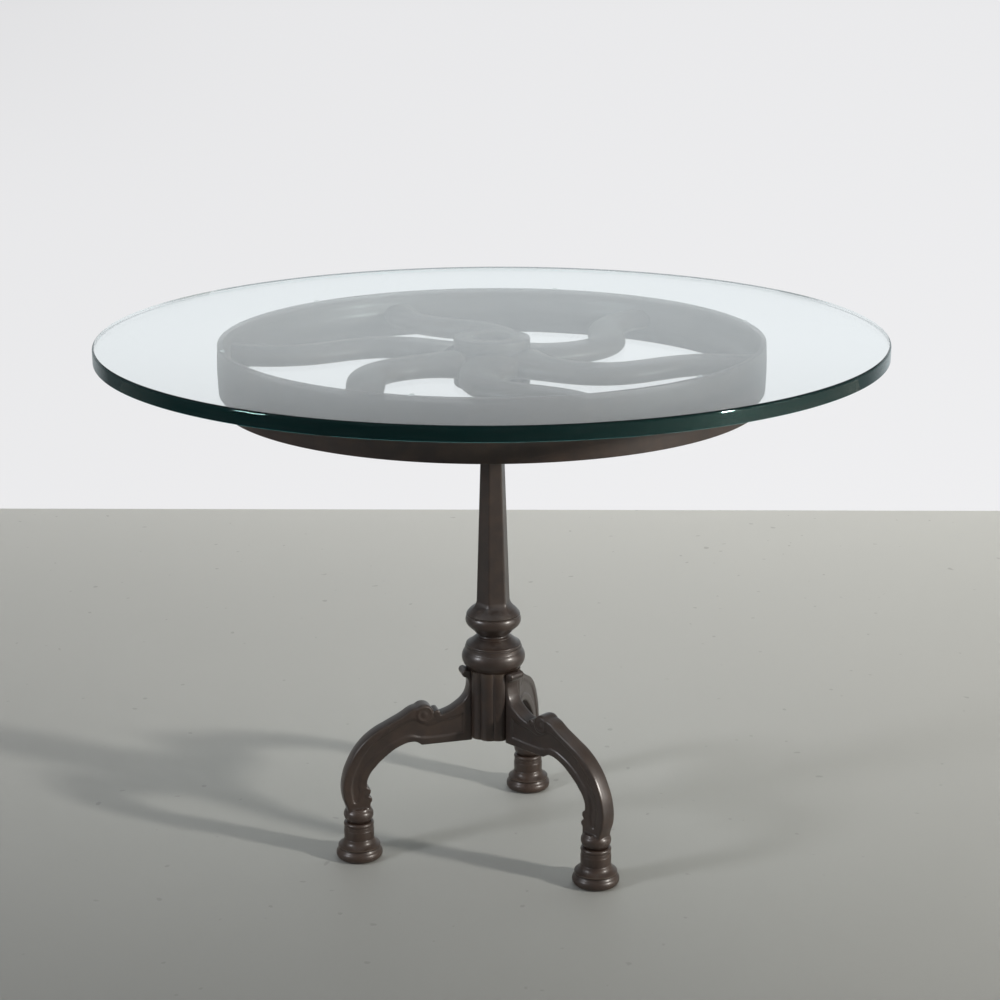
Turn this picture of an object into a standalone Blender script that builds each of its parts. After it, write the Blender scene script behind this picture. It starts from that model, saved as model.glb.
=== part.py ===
"""Round glass table on a cast-iron pulley wheel, a hexagonal column and three scrolled legs.

Metres, +Z up. The origin is on the floor, on the column's axis. The first leg points along -Y.
"""
import math

import bmesh
import bpy
from mathutils import Matrix, Vector

# Overall height, and the clearances between pieces
TABLE_HEIGHT = 0.7495
SEAT_GAP = 0.0003
FIT_GAP = 0.0003

# Glass top and the bumpers under it
GLASS_DIAMETER = 1.067
GLASS_THICK = 0.019
GLASS_EDGE_ROUND = 0.0015
PAD_DIAMETER = 0.007
PAD_THICK = 0.002
PAD_COUNT = 6

# Pulley wheel: rim
WHEEL_DIAMETER = 0.740
WHEEL_HEIGHT = 0.066
RIM_EDGE_THICK = 0.008
RIM_MID_THICK = 0.014
RIM_RIB_HEIGHT = 0.032
RIM_CROWN = 0.001
RIM_EDGE_ROUND = 0.0015

# Pulley wheel: hub
HUB_DIAMETER = 0.104
HUB_EDGE_ROUND = 0.003
COUNTERBORE_DEPTH = 0.026
COUNTERBORE_CLEARANCE = 0.003

# Pulley wheel: S-shaped arms of oval section
ARM_COUNT = 6
ARM_START = 39.8
ARM_SWEEP = 26.6
ARM_ROOT_LEAN = -21.4
ARM_RIM_LEAN = -9.5
ARM_ROOT_REACH = 0.170
ARM_RIM_REACH = 0.140
ARM_ROOT_WIDTH = 0.055
ARM_RIM_WIDTH = 0.066
ARM_ROOT_DEPTH = 0.031
ARM_RIM_DEPTH = 0.025
ARM_BURIED = 0.004

# Tie rod, nuts and washers
ROD_DIAMETER = 0.016
ROD_CLEARANCE = 0.001
ROD_END = 0.003
NUT_ACROSS_FLATS = 0.024
NUT_HEIGHT = 0.013
TOP_WASHER_DIAMETER = 0.050
TOP_WASHER_THICK = 0.004
BOTTOM_WASHER_DIAMETER = 0.028
BOTTOM_WASHER_THICK = 0.003

# Headless set screws that lock the wheel on the column
SET_SCREW_DIAMETER = 0.008
SET_SCREW_SUNK = 0.002
SET_SCREW_ANGLES = (-90.0, 0.0)

# Column: spigots, hexagonal shaft and collar
SPIGOT_DIAMETER = 0.032
TOP_SPIGOT_SHORT = 0.001
FOOT_SPIGOT_LENGTH = 0.012
SHAFT_FOOT_WIDTH = 0.0504
SHAFT_TOP_WIDTH = 0.0305
SHAFT_TURN = 30.0
SHAFT_LEDGE = 0.0006
SHAFT_FLARE = 0.005
COLLAR_DIAMETER = 0.070
COLLAR_HEIGHT = 0.036
COLLAR_LIP = 0.006
COLLAR_THROAT_SHARE = 0.8

# Column: bulb, dome, neck and ring, from the foot up
BULB_FOOT = 0.0015
BULB_DIAMETER = 0.0896
BULB_CORE_DIAMETER = 0.060
BULB_HALF_HEIGHT = 0.0165
DOME_STEP = 0.0022
DOME_DIAMETER = 0.081
DOME_CORE_DIAMETER = 0.041
DOME_HEIGHT = 0.0195
NECK_DIAMETER = 0.044
NECK_HEIGHT = 0.0066
RING_DIAMETER = 0.078
RING_CORE_DIAMETER = 0.046
RING_HALF_HEIGHT = 0.0185

# Reeded hub that carries the legs
LEG_COUNT = 3
FIRST_LEG = -90.0
BOSS_DIAMETER = 0.078
BOSS_BASE = 0.169
BOSS_HEIGHT = 0.0997
REED_COUNT = 12
REED_DEPTH = 0.002
HOUSING_DEPTH = 0.005
POCKET_WALL = 0.007
POCKET_DEPTH = 0.026

# Dovetail tongue that holds a leg in the hub
TONGUE_DEPTH = 0.016
TONGUE_NECK = 0.012
TONGUE_TAIL = 0.016
TONGUE_DROP = 0.020
TONGUE_ROOT = 0.0025

# Plate under the tongues and its bolts
PLATE_THICK = 0.006
BOLT_DIAMETER = 0.005
BOLT_HEAD = 0.008
BOLT_HEAD_HEIGHT = 0.0035
BOLT_REACH = 0.020

# Leg: places of its root, knee scroll and ankle, and its thickness
LEG_THICK = 0.024
LEG_EDGE_ROUND = 0.0025
LEG_HANG = 0.005
KNEE_RADIUS = 0.104
KNEE_DROP = 0.0582
KNEE_SCROLL = 0.028
KNEE_SCROLL_PROUD = 0.0013
KNEE_EYE = 0.013
KNEE_EYE_DEPTH = 0.004
BEAD_DIAMETER = 0.010
BEAD_BACK = 0.0185
BEAD_DROP = 0.001
BEAD_PROUD = 0.0006
PANEL_DEPTH = 0.0018

# Ankle ring and turned foot, from the floor up
FOOT_CIRCLE = 0.398
SOLE_DIAMETER = 0.052
FOOT_BASE_DIAMETER = 0.066
FOOT_BULGE_HEIGHT = 0.0064
FOOT_SWELL_HEIGHT = 0.0086
FOOT_SHOULDER_HEIGHT = 0.007
FOOT_SHOULDER_FALL = 0.0022
FOOT_SHOULDER_STEP = 0.0014
FOOT_COVE_HEIGHT = 0.005
FOOT_COVE_REACH = 0.002
CUP_DIAMETER = 0.043
CUP_LIP_HEIGHT = 0.0065
CUP_LIP_ROUND = 0.001
CUP_GROOVE_HEIGHT = 0.0065
CUP_GROOVE_DEPTH = 0.0008
FOOT_NECK_DIAMETER = 0.035
ANKLE_HEIGHT = 0.0563
ANKLE_RING_DIAMETER = 0.0426
ANKLE_RING_HEIGHT = 0.0195
ANKLE_RING_CORE_SHARE = 0.8
STUD_DIAMETER = 0.012
STUD_LENGTH = 0.025
STUD_SPARE = 0.001

# Facets round the turned pieces, and how far a cutter runs past the face it opens
GLASS_STEPS = 88
RIM_STEPS = 60
TURN_STEPS = 28
FOOT_STEPS = 20
BORE_SIDES = 24
SCREW_SIDES = 12
OVERCUT = 0.010

# Heights that follow from the sizes above
GLASS_BASE = TABLE_HEIGHT - GLASS_THICK
WHEEL_TOP = GLASS_BASE - PAD_THICK - 2 * SEAT_GAP
WHEEL_BASE = WHEEL_TOP - WHEEL_HEIGHT
WHEEL_MID = WHEEL_TOP - WHEEL_HEIGHT / 2
COUNTERBORE_FLOOR = WHEEL_TOP - COUNTERBORE_DEPTH
SET_SCREW_HEIGHT = WHEEL_BASE + (WHEEL_HEIGHT - ARM_ROOT_DEPTH) / 4
COLUMN_SEAT = WHEEL_BASE - SEAT_GAP
BOSS_TOP = BOSS_BASE + BOSS_HEIGHT
COLUMN_BASE = BOSS_TOP + SEAT_GAP
POCKET_TOP = BOSS_BASE + POCKET_DEPTH
PLATE_TOP = POCKET_TOP - SEAT_GAP
PLATE_BASE = PLATE_TOP - PLATE_THICK
TONGUE_TOP = BOSS_TOP - TONGUE_DROP
LEG_BASE = BOSS_BASE - LEG_HANG
KNEE_HEIGHT = BOSS_TOP - KNEE_DROP

# Radii that follow from the sizes above
ROD_RADIUS = ROD_DIAMETER / 2
ROD_HOLE = ROD_RADIUS + ROD_CLEARANCE
SPIGOT_RADIUS = SPIGOT_DIAMETER / 2
HUB_RADIUS = HUB_DIAMETER / 2
WHEEL_RADIUS = WHEEL_DIAMETER / 2
RIM_EDGE_RADIUS = WHEEL_RADIUS - RIM_EDGE_THICK
RIM_MID_RADIUS = WHEEL_RADIUS - RIM_MID_THICK
BOSS_RADIUS = BOSS_DIAMETER / 2
LEG_SEAT = BOSS_RADIUS - HOUSING_DEPTH
SEAT_FACE = LEG_SEAT + FIT_GAP
POCKET_RADIUS = BOSS_RADIUS - POCKET_WALL
BOLT_CIRCLE_RADIUS = (POCKET_RADIUS + BOTTOM_WASHER_DIAMETER / 2) / 2
FOOT_RADIUS = FOOT_CIRCLE / 2

# Colours of cast iron and of dull steel
IRON = (0.030, 0.026, 0.023)
STEEL = (0.12, 0.11, 0.10)

for old in list(bpy.data.objects):
    bpy.data.objects.remove(old)
parts = bpy.data.collections.new("gear_wheel_table")
cutters = bpy.data.collections.new("cutters")
for collection in (parts, cutters):
    bpy.context.scene.collection.children.link(collection)
origin = bpy.data.objects.new("table_origin", None)
parts.objects.link(origin)


def place(name, mesh):
    """A named part made from a mesh, parented to the table's origin."""
    part = bpy.data.objects.new(name, mesh)
    parts.objects.link(part)
    part.parent = origin
    return part


def helper(name, data):
    """A hidden body that another one is cut by or joined with."""
    body = bpy.data.objects.new(name, data)
    cutters.objects.link(body)
    body.hide_render = True
    body.display_type = 'WIRE'
    return body


def finish(part, colour, roughness, metallic, alpha=1.0):
    """The part's own material, and smooth shading up to its sharp edges."""
    material = bpy.data.materials.new(part.name)
    material.use_nodes = True
    shader = material.node_tree.nodes["Principled BSDF"]
    shader.inputs["Base Color"].default_value = (*colour, 1.0)
    shader.inputs["Roughness"].default_value = roughness
    shader.inputs["Metallic"].default_value = metallic
    shader.inputs["Alpha"].default_value = alpha
    part.data.materials.append(material)
    part.data.shade_smooth()
    part.data.set_sharp_from_angle(angle=math.radians(35))


def evaluated_mesh(body):
    """The body's mesh as its modifiers leave it, welded and facing out; the body is removed."""
    graph = bpy.context.evaluated_depsgraph_get()
    mesh = bpy.data.meshes.new_from_object(body.evaluated_get(graph))
    bpy.data.objects.remove(body)
    shape = bmesh.new()
    shape.from_mesh(mesh)
    bmesh.ops.remove_doubles(shape, verts=shape.verts, dist=0.000001)
    bmesh.ops.recalc_face_normals(shape, faces=shape.faces)
    shape.to_mesh(mesh)
    shape.free()
    return mesh


def combine(body, tool, operation):
    """Cuts a body by a hidden tool, or joins it with one."""
    change = body.modifiers.new(tool.name, 'BOOLEAN')
    change.operation = operation
    change.solver = 'EXACT'
    change.object = tool


def turned(name, profile, steps, closed=False, turn=0.0):
    """Mesh of a profile turned about Z; the profile runs down its outer side, top to bottom."""
    count = len(profile)
    edges = [(index, index + 1) for index in range(count - 1)]
    if closed:
        edges.append((count - 1, 0))
    mesh = bpy.data.meshes.new(name)
    mesh.from_pydata([(radius, 0.0, height) for radius, height in profile], edges, [])
    body = helper(name, mesh)
    screw = body.modifiers.new("Turn", 'SCREW')
    screw.steps = steps
    screw.render_steps = steps
    screw.use_merge_vertices = True
    screw.merge_threshold = 0.00001
    result = evaluated_mesh(body)
    result.transform(about_z(turn))
    return result


def arc(centre_r, centre_z, reach_r, reach_z, start, end, count):
    """Points along an elliptical arc of a profile, from one angle to another in degrees."""
    points = []
    for index in range(count):
        angle = math.radians(start + (end - start) * index / (count - 1))
        points.append((centre_r + reach_r * math.cos(angle), centre_z + reach_z * math.sin(angle)))
    return points


def cylinder(name, radius, low, high, sides=BORE_SIDES):
    """Mesh of an upright cylinder or prism between two heights."""
    shape = bmesh.new()
    middle = Matrix.Translation((0.0, 0.0, (low + high) / 2))
    bmesh.ops.create_cone(shape, cap_ends=True, segments=sides, radius1=radius, radius2=radius,
                          depth=high - low, matrix=middle)
    mesh = bpy.data.meshes.new(name)
    shape.to_mesh(mesh)
    shape.free()
    return mesh


def outline(name, points, half_thick, corners, resolution):
    """Mesh of a flat outline; points not listed as corners lie on smooth curves."""
    curve = bpy.data.curves.new(name, 'CURVE')
    curve.dimensions = '2D'
    curve.fill_mode = 'BOTH'
    curve.extrude = half_thick
    curve.resolution_u = resolution
    spline = curve.splines.new('BEZIER')
    spline.bezier_points.add(len(points) - 1)
    spline.use_cyclic_u = True
    for knot, point in zip(spline.bezier_points, points):
        kind = 'VECTOR' if point in corners else 'AUTO'
        knot.co = (*point, 0.0)
        knot.handle_left_type = kind
        knot.handle_right_type = kind
    return evaluated_mesh(helper(name, curve))


def prism(name, points, low, high):
    """Mesh of a straight-sided outline in plan, between two heights."""
    mesh = outline(name, points, (high - low) / 2, corners=points, resolution=1)
    mesh.transform(Matrix.Translation((0.0, 0.0, (low + high) / 2)))
    return mesh


def about_z(angle):
    """A turn about the table's axis, in degrees."""
    return Matrix.Rotation(math.radians(angle), 4, 'Z')


def along(angle, length):
    """A level vector of a given length, at an angle in degrees about the axis."""
    return about_z(angle) @ Vector((length, 0.0, 0.0))


LEG_ANGLES = [FIRST_LEG + 360.0 * index / LEG_COUNT for index in range(LEG_COUNT)]


# Glass top: a disc with a ground and polished edge
def glass_top():
    radius = GLASS_DIAMETER / 2
    inner = radius - GLASS_EDGE_ROUND
    profile = [
        (0.0, GLASS_THICK),
        (inner, GLASS_THICK),
        (radius, GLASS_THICK - GLASS_EDGE_ROUND),
        (radius, GLASS_EDGE_ROUND),
        (inner, 0.0),
        (0.0, 0.0),
    ]
    part = place("glass_top", turned("glass_top", profile, GLASS_STEPS))
    part.location.z = GLASS_BASE
    finish(part, (0.80, 0.90, 0.88), 0.02, 0.0, alpha=0.3)


# Clear bumpers between the rim and the glass
def glass_pads():
    pad = cylinder("glass_pad", PAD_DIAMETER / 2, 0.0, PAD_THICK, SCREW_SIDES)
    middle = WHEEL_RADIUS - RIM_EDGE_THICK / 2
    for index in range(PAD_COUNT):
        part = place(f"glass_pad_{index + 1}", pad)
        part.location = along(FIRST_LEG + 360.0 * index / PAD_COUNT, middle)
        part.location.z = WHEEL_TOP + SEAT_GAP
        if index == 0:
            finish(part, (0.85, 0.87, 0.86), 0.2, 0.0, alpha=0.6)


# One wheel arm: oval sections along a curve that leaves the hub and meets the rim at small leans
def wheel_arm():
    root = along(0.0, HUB_RADIUS - ARM_BURIED)
    end = along(ARM_SWEEP, RIM_MID_RADIUS + ARM_BURIED)
    root_handle = root + along(ARM_ROOT_LEAN, ARM_ROOT_REACH)
    end_handle = end - along(ARM_SWEEP + ARM_RIM_LEAN, ARM_RIM_REACH)
    stations = 10
    sides = 10
    shape = bmesh.new()
    loops = []
    for index in range(stations):
        t = index / (stations - 1)
        s = 1.0 - t
        centre = s**3 * root + 3 * s**2 * t * root_handle + 3 * s * t**2 * end_handle + t**3 * end
        ahead = (s**2 * (root_handle - root) + 2 * s * t * (end_handle - root_handle)
                 + t**2 * (end - end_handle)).normalized()
        half_width = (s * ARM_ROOT_WIDTH + t * ARM_RIM_WIDTH) / 2
        half_depth = (s * ARM_ROOT_DEPTH + t * ARM_RIM_DEPTH) / 2
        across = Vector((-ahead.y, ahead.x, 0.0))
        frame = Matrix.Identity(4)
        frame.col[0] = (*(across * half_width), 0.0)
        frame.col[1] = (0.0, 0.0, half_depth, 0.0)
        frame.col[2] = (*ahead, 0.0)
        frame.col[3] = (*centre, 1.0)
        capped = index in (0, stations - 1)
        made = bmesh.ops.create_circle(shape, cap_ends=capped, segments=sides, radius=1.0, matrix=frame)
        loops.append(list({edge for vert in made["verts"] for edge in vert.link_edges}))
    for near, far in zip(loops, loops[1:]):
        bmesh.ops.bridge_loops(shape, edges=near + far)
    bmesh.ops.recalc_face_normals(shape, faces=shape.faces)
    mesh = bpy.data.meshes.new("wheel_arm")
    shape.to_mesh(mesh)
    shape.free()
    mesh.transform(Matrix.Translation((0.0, 0.0, WHEEL_MID)) @ about_z(ARM_START))
    return mesh


# Pulley wheel: crowned rim ribbed inside, arms, and a hub bored for the column and counterbored
def pulley_wheel():
    top = WHEEL_TOP
    base = WHEEL_BASE
    edge = RIM_EDGE_ROUND
    rim = [
        (RIM_EDGE_RADIUS + edge, top),
        (WHEEL_RADIUS - edge, top),
        (WHEEL_RADIUS, top - edge),
        (WHEEL_RADIUS + RIM_CROWN, WHEEL_MID),
        (WHEEL_RADIUS, base + edge),
        (WHEEL_RADIUS - edge, base),
        (RIM_EDGE_RADIUS + edge, base),
        (RIM_EDGE_RADIUS, base + edge),
        (RIM_EDGE_RADIUS, WHEEL_MID - RIM_RIB_HEIGHT / 2),
        (RIM_MID_RADIUS, WHEEL_MID),
        (RIM_EDGE_RADIUS, WHEEL_MID + RIM_RIB_HEIGHT / 2),
        (RIM_EDGE_RADIUS, top - edge),
    ]
    part = place("pulley_wheel", turned("pulley_wheel", rim, RIM_STEPS, closed=True))
    arm = wheel_arm()
    for index in range(ARM_COUNT):
        copy = helper(f"wheel_arm_{index + 1}", arm)
        copy.rotation_euler.z = 2 * math.pi * index / ARM_COUNT
        combine(part, copy, 'UNION')
    edge = HUB_EDGE_ROUND
    hub = [
        (0.0, top),
        (HUB_RADIUS - edge, top),
        (HUB_RADIUS, top - edge),
        (HUB_RADIUS, base + edge),
        (HUB_RADIUS - edge, base),
        (0.0, base),
    ]
    combine(part, helper("wheel_hub", turned("wheel_hub", hub, TURN_STEPS)), 'UNION')
    bore = cylinder("wheel_bore", SPIGOT_RADIUS + FIT_GAP, base - OVERCUT, top)
    combine(part, helper("wheel_bore", bore), 'DIFFERENCE')
    recess_radius = TOP_WASHER_DIAMETER / 2 + COUNTERBORE_CLEARANCE
    recess = cylinder("wheel_counterbore", recess_radius, COUNTERBORE_FLOOR, top + OVERCUT)
    combine(part, helper("wheel_counterbore", recess), 'DIFFERENCE')
    for index, angle in enumerate(SET_SCREW_ANGLES):
        hole = cylinder("set_screw_hole", SET_SCREW_DIAMETER / 2 + FIT_GAP, 0.0, HUB_DIAMETER, SCREW_SIDES)
        tool = helper(f"set_screw_hole_{index + 1}", hole)
        tool.matrix_world = set_screw_frame(angle)
        combine(part, tool, 'DIFFERENCE')
    finish(part, IRON, 0.55, 0.6)


# Frame of a set screw: its own Z runs out from the axis, low on the wheel's hub
def set_screw_frame(angle):
    lift = Matrix.Translation((0.0, 0.0, SET_SCREW_HEIGHT))
    return lift @ about_z(angle) @ Matrix.Rotation(math.radians(90), 4, 'Y')


# Headless set screws, sunk in the wheel's hub, that bear on the column's spigot
def set_screws():
    tip = SPIGOT_RADIUS + FIT_GAP
    for index, angle in enumerate(SET_SCREW_ANGLES):
        name = f"hub_set_screw_{index + 1}"
        screw = cylinder(name, SET_SCREW_DIAMETER / 2, tip, HUB_RADIUS - SET_SCREW_SUNK, SCREW_SIDES)
        part = place(name, screw)
        part.matrix_world = set_screw_frame(angle)
        finish(part, STEEL, 0.5, 0.9)


# Column: turned bulb, dome, neck and ring, a six-sided tapering shaft and a collar under the wheel
def column():
    bottom = COLUMN_BASE
    bulb_top_angle = 46
    bulb_foot_angle = -58
    dome_foot_angle = 6
    ring_foot_angle = -80
    bulb_core = BULB_CORE_DIAMETER / 2
    bulb_middle = bottom + BULB_FOOT - BULB_HALF_HEIGHT * math.sin(math.radians(bulb_foot_angle))
    bulb = arc(bulb_core, bulb_middle, BULB_DIAMETER / 2 - bulb_core, BULB_HALF_HEIGHT,
               bulb_top_angle, bulb_foot_angle, 6)
    dome_core = DOME_CORE_DIAMETER / 2
    dome_middle = bulb[0][1] + DOME_STEP - DOME_HEIGHT * math.sin(math.radians(dome_foot_angle))
    dome = arc(dome_core, dome_middle, DOME_DIAMETER / 2 - dome_core, DOME_HEIGHT,
               80, dome_foot_angle, 5)
    ring_core = RING_CORE_DIAMETER / 2
    ring_foot = dome[0][1] + NECK_HEIGHT
    ring_middle = ring_foot - RING_HALF_HEIGHT * math.sin(math.radians(ring_foot_angle))
    ring = arc(ring_core, ring_middle, RING_DIAMETER / 2 - ring_core, RING_HALF_HEIGHT,
               72, ring_foot_angle, 7)
    shaft_foot = ring_middle + RING_HALF_HEIGHT
    throat = SHAFT_FOOT_WIDTH / 2 + SHAFT_LEDGE
    profile = [(0.0, shaft_foot + SHAFT_FLARE), (throat, shaft_foot + SHAFT_FLARE)]
    profile += ring
    profile.append((NECK_DIAMETER / 2, ring_foot - NECK_HEIGHT / 2))
    profile += dome
    profile += bulb
    profile += [(bulb[-1][0], bottom), (0.0, bottom)]
    part = place("column", turned("column", profile, TURN_STEPS))
    collar_foot = COLUMN_SEAT - COLLAR_HEIGHT
    shaft_top = COLUMN_SEAT - COLLAR_LIP
    shaft = [
        (0.0, shaft_top),
        (SHAFT_TOP_WIDTH / 2, shaft_top),
        (SHAFT_TOP_WIDTH / 2, collar_foot),
        (SHAFT_FOOT_WIDTH / 2, shaft_foot),
        (SHAFT_FOOT_WIDTH / 2, ring_middle),
        (0.0, ring_middle),
    ]
    combine(part, helper("shaft", turned("shaft", shaft, steps=6, turn=SHAFT_TURN)), 'UNION')
    collar_radius = COLLAR_DIAMETER / 2
    throat_radius = SHAFT_TOP_WIDTH / 2 * COLLAR_THROAT_SHARE
    collar = [
        (0.0, COLUMN_SEAT),
        (collar_radius - COLLAR_LIP / 3, COLUMN_SEAT),
        (collar_radius, COLUMN_SEAT - COLLAR_LIP / 3),
    ]
    collar += arc(collar_radius, collar_foot, throat_radius - collar_radius,
                  COLLAR_HEIGHT - COLLAR_LIP, 90, 0, 5)
    collar.append((0.0, collar_foot))
    combine(part, helper("collar", turned("collar", collar, TURN_STEPS)), 'UNION')
    top_spigot = cylinder("top_spigot", SPIGOT_RADIUS, COLUMN_SEAT - COLLAR_LIP / 2,
                          COUNTERBORE_FLOOR - TOP_SPIGOT_SHORT)
    combine(part, helper("top_spigot", top_spigot), 'UNION')
    foot_spigot = cylinder("foot_spigot", SPIGOT_RADIUS, bottom - FOOT_SPIGOT_LENGTH, bulb_middle)
    combine(part, helper("foot_spigot", foot_spigot), 'UNION')
    bore = cylinder("column_bore", ROD_HOLE, bottom - FOOT_SPIGOT_LENGTH - OVERCUT, WHEEL_TOP)
    combine(part, helper("column_bore", bore), 'DIFFERENCE')
    finish(part, IRON, 0.5, 0.6)


# Tie rod through the whole stack, with a nut and a washer at each end
def tie_rod():
    washer_base = COUNTERBORE_FLOOR + SEAT_GAP
    nut_base = washer_base + TOP_WASHER_THICK + SEAT_GAP
    low_washer_base = PLATE_BASE - SEAT_GAP - BOTTOM_WASHER_THICK
    low_nut_base = low_washer_base - SEAT_GAP - NUT_HEIGHT
    rod = cylinder("tie_rod", ROD_RADIUS, low_nut_base - ROD_END, nut_base + NUT_HEIGHT + ROD_END)
    finish(place("tie_rod", rod), STEEL, 0.5, 0.9)
    hole = ROD_RADIUS + FIT_GAP
    stack = (
        ("top", TOP_WASHER_DIAMETER / 2, washer_base, TOP_WASHER_THICK, nut_base),
        ("bottom", BOTTOM_WASHER_DIAMETER / 2, low_washer_base, BOTTOM_WASHER_THICK, low_nut_base),
    )
    for end, radius, washer_low, washer_thick, nut_low in stack:
        washer_high = washer_low + washer_thick
        section = [(radius, washer_high), (radius, washer_low), (hole, washer_low), (hole, washer_high)]
        washer = place(f"{end}_washer", turned(f"{end}_washer", section, BORE_SIDES, closed=True))
        finish(washer, STEEL, 0.5, 0.9)
        corner = NUT_ACROSS_FLATS / math.sqrt(3)
        nut = place(f"{end}_nut", cylinder(f"{end}_nut", corner, nut_low, nut_low + NUT_HEIGHT, sides=6))
        bore = cylinder("nut_bore", hole, nut_low - OVERCUT, nut_low + NUT_HEIGHT + OVERCUT)
        combine(nut, helper(f"{end}_nut_bore", bore), 'DIFFERENCE')
        finish(nut, STEEL, 0.5, 0.9)


# Dovetail section in plan, along +X, grown by a clearance on the slot's side
def dovetail(clearance):
    back = LEG_SEAT - TONGUE_DEPTH - clearance
    neck = TONGUE_NECK / 2 + clearance
    tail = TONGUE_TAIL / 2 + clearance
    front = SEAT_FACE + TONGUE_ROOT
    return [(back, -tail), (LEG_SEAT, -neck), (front, -neck), (front, neck), (LEG_SEAT, neck), (back, tail)]


# Reeded hub: scalloped outline, housings and dovetail slots for the legs, pocket for the plate
def leg_hub():
    per_reed = 8
    points = []
    for index in range(REED_COUNT * per_reed):
        angle = 2 * math.pi * index / (REED_COUNT * per_reed)
        reach = BOSS_RADIUS - REED_DEPTH * (1.0 - abs(math.cos(angle * REED_COUNT / 2)))
        points.append((reach * math.cos(angle), reach * math.sin(angle)))
    part = place("leg_hub", prism("leg_hub", points, BOSS_BASE, BOSS_TOP))
    half = LEG_THICK / 2 + FIT_GAP
    reach = BOSS_DIAMETER
    plan = [(LEG_SEAT, -half), (reach, -half), (reach, half), (LEG_SEAT, half)]
    housing = prism("housing", plan, BOSS_BASE - OVERCUT, BOSS_TOP + OVERCUT)
    slot = prism("slot", dovetail(FIT_GAP), BOSS_BASE - 2 * OVERCUT, TONGUE_TOP + FIT_GAP)
    for index, angle in enumerate(LEG_ANGLES):
        for name, mesh in (("housing", housing), ("slot", slot)):
            tool = helper(f"{name}_{index + 1}", mesh)
            tool.rotation_euler.z = math.radians(angle)
            combine(part, tool, 'DIFFERENCE')
    pocket = cylinder("pocket", POCKET_RADIUS, BOSS_BASE - 3 * OVERCUT, POCKET_TOP)
    combine(part, helper("pocket", pocket), 'DIFFERENCE')
    socket = cylinder("spigot_socket", SPIGOT_RADIUS + FIT_GAP, COLUMN_BASE - FOOT_SPIGOT_LENGTH - SEAT_GAP,
                      BOSS_TOP + 2 * OVERCUT)
    combine(part, helper("spigot_socket", socket), 'DIFFERENCE')
    bore = cylinder("hub_bore", ROD_HOLE, BOSS_BASE, BOSS_TOP)
    combine(part, helper("hub_bore", bore), 'DIFFERENCE')
    finish(part, IRON, 0.6, 0.6)


# Side view of a leg: points from the neck, the knee scroll's centre and the ankle
def neck_point(right, up):
    return (SEAT_FACE + right, BOSS_TOP + up)


def knee_point(right, up):
    return (KNEE_RADIUS + right, KNEE_HEIGHT + up)


def ankle_point(right, up):
    return (FOOT_RADIUS + right, ANKLE_HEIGHT + up)


def leg_side():
    """The leg's outline, and its points that are corners."""
    neck, knee, ankle = neck_point, knee_point, ankle_point
    crest = [neck(0.0, 0.0), neck(0.0060, 0.0)]
    back = [
        neck(0.0122, -0.0075), neck(0.0080, -0.0160), neck(0.0052, -0.0280), neck(0.0095, -0.0390),
        neck(0.0210, -0.0500), knee(-0.0330, 0.0000), knee(-0.0200, -0.0020), knee(-0.0060, 0.0084),
        knee(0.0130, 0.0098), knee(0.0330, -0.0010), knee(0.0530, -0.0110), knee(0.0730, -0.0215),
        ankle(-0.0015, 0.1147), ankle(0.0140, 0.0902), ankle(0.0230, 0.0632), ankle(0.0235, 0.0392),
        ankle(0.0175, 0.0182),
    ]
    foot = [ankle(0.0165, 0.0080), ankle(-0.0150, 0.0080)]
    belly = [
        ankle(-0.0155, 0.0232), ankle(-0.0146, 0.0360), ankle(-0.0112, 0.0552), ankle(-0.0140, 0.0682),
        ankle(-0.0255, 0.0837), knee(0.0540, -0.0565), knee(0.0390, -0.0465), knee(0.0210, -0.0405),
        knee(0.0110, -0.0415),
    ]
    root = [(knee(0.0040, 0.0)[0], LEG_BASE), (SEAT_FACE, LEG_BASE)]
    return crest + back + foot + belly + root, crest + foot + root


def panel_side():
    """The sunk panel's outline, and its points that are corners."""
    neck, knee, ankle = neck_point, knee_point, ankle_point
    root = [(neck(0.0130, 0.0)[0], LEG_BASE + 0.0117), neck(0.0130, -0.0610)]
    rest = [
        neck(0.0240, -0.0665), knee(-0.0240, -0.0120), knee(-0.0040, -0.0160), knee(0.0160, -0.0060),
        knee(0.0330, -0.0120), knee(0.0530, -0.0220), knee(0.0680, -0.0310), ankle(-0.0110, 0.1072),
        ankle(0.0025, 0.0847), ankle(0.0105, 0.0612), ankle(0.0105, 0.0412), ankle(0.0060, 0.0292),
        ankle(-0.0015, 0.0432), ankle(-0.0005, 0.0572), ankle(-0.0045, 0.0747), ankle(-0.0175, 0.0917),
        knee(0.0600, -0.0470), knee(0.0410, -0.0365), knee(0.0210, -0.0310), knee(0.0040, -0.0350),
    ]
    return root + rest, root


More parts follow.
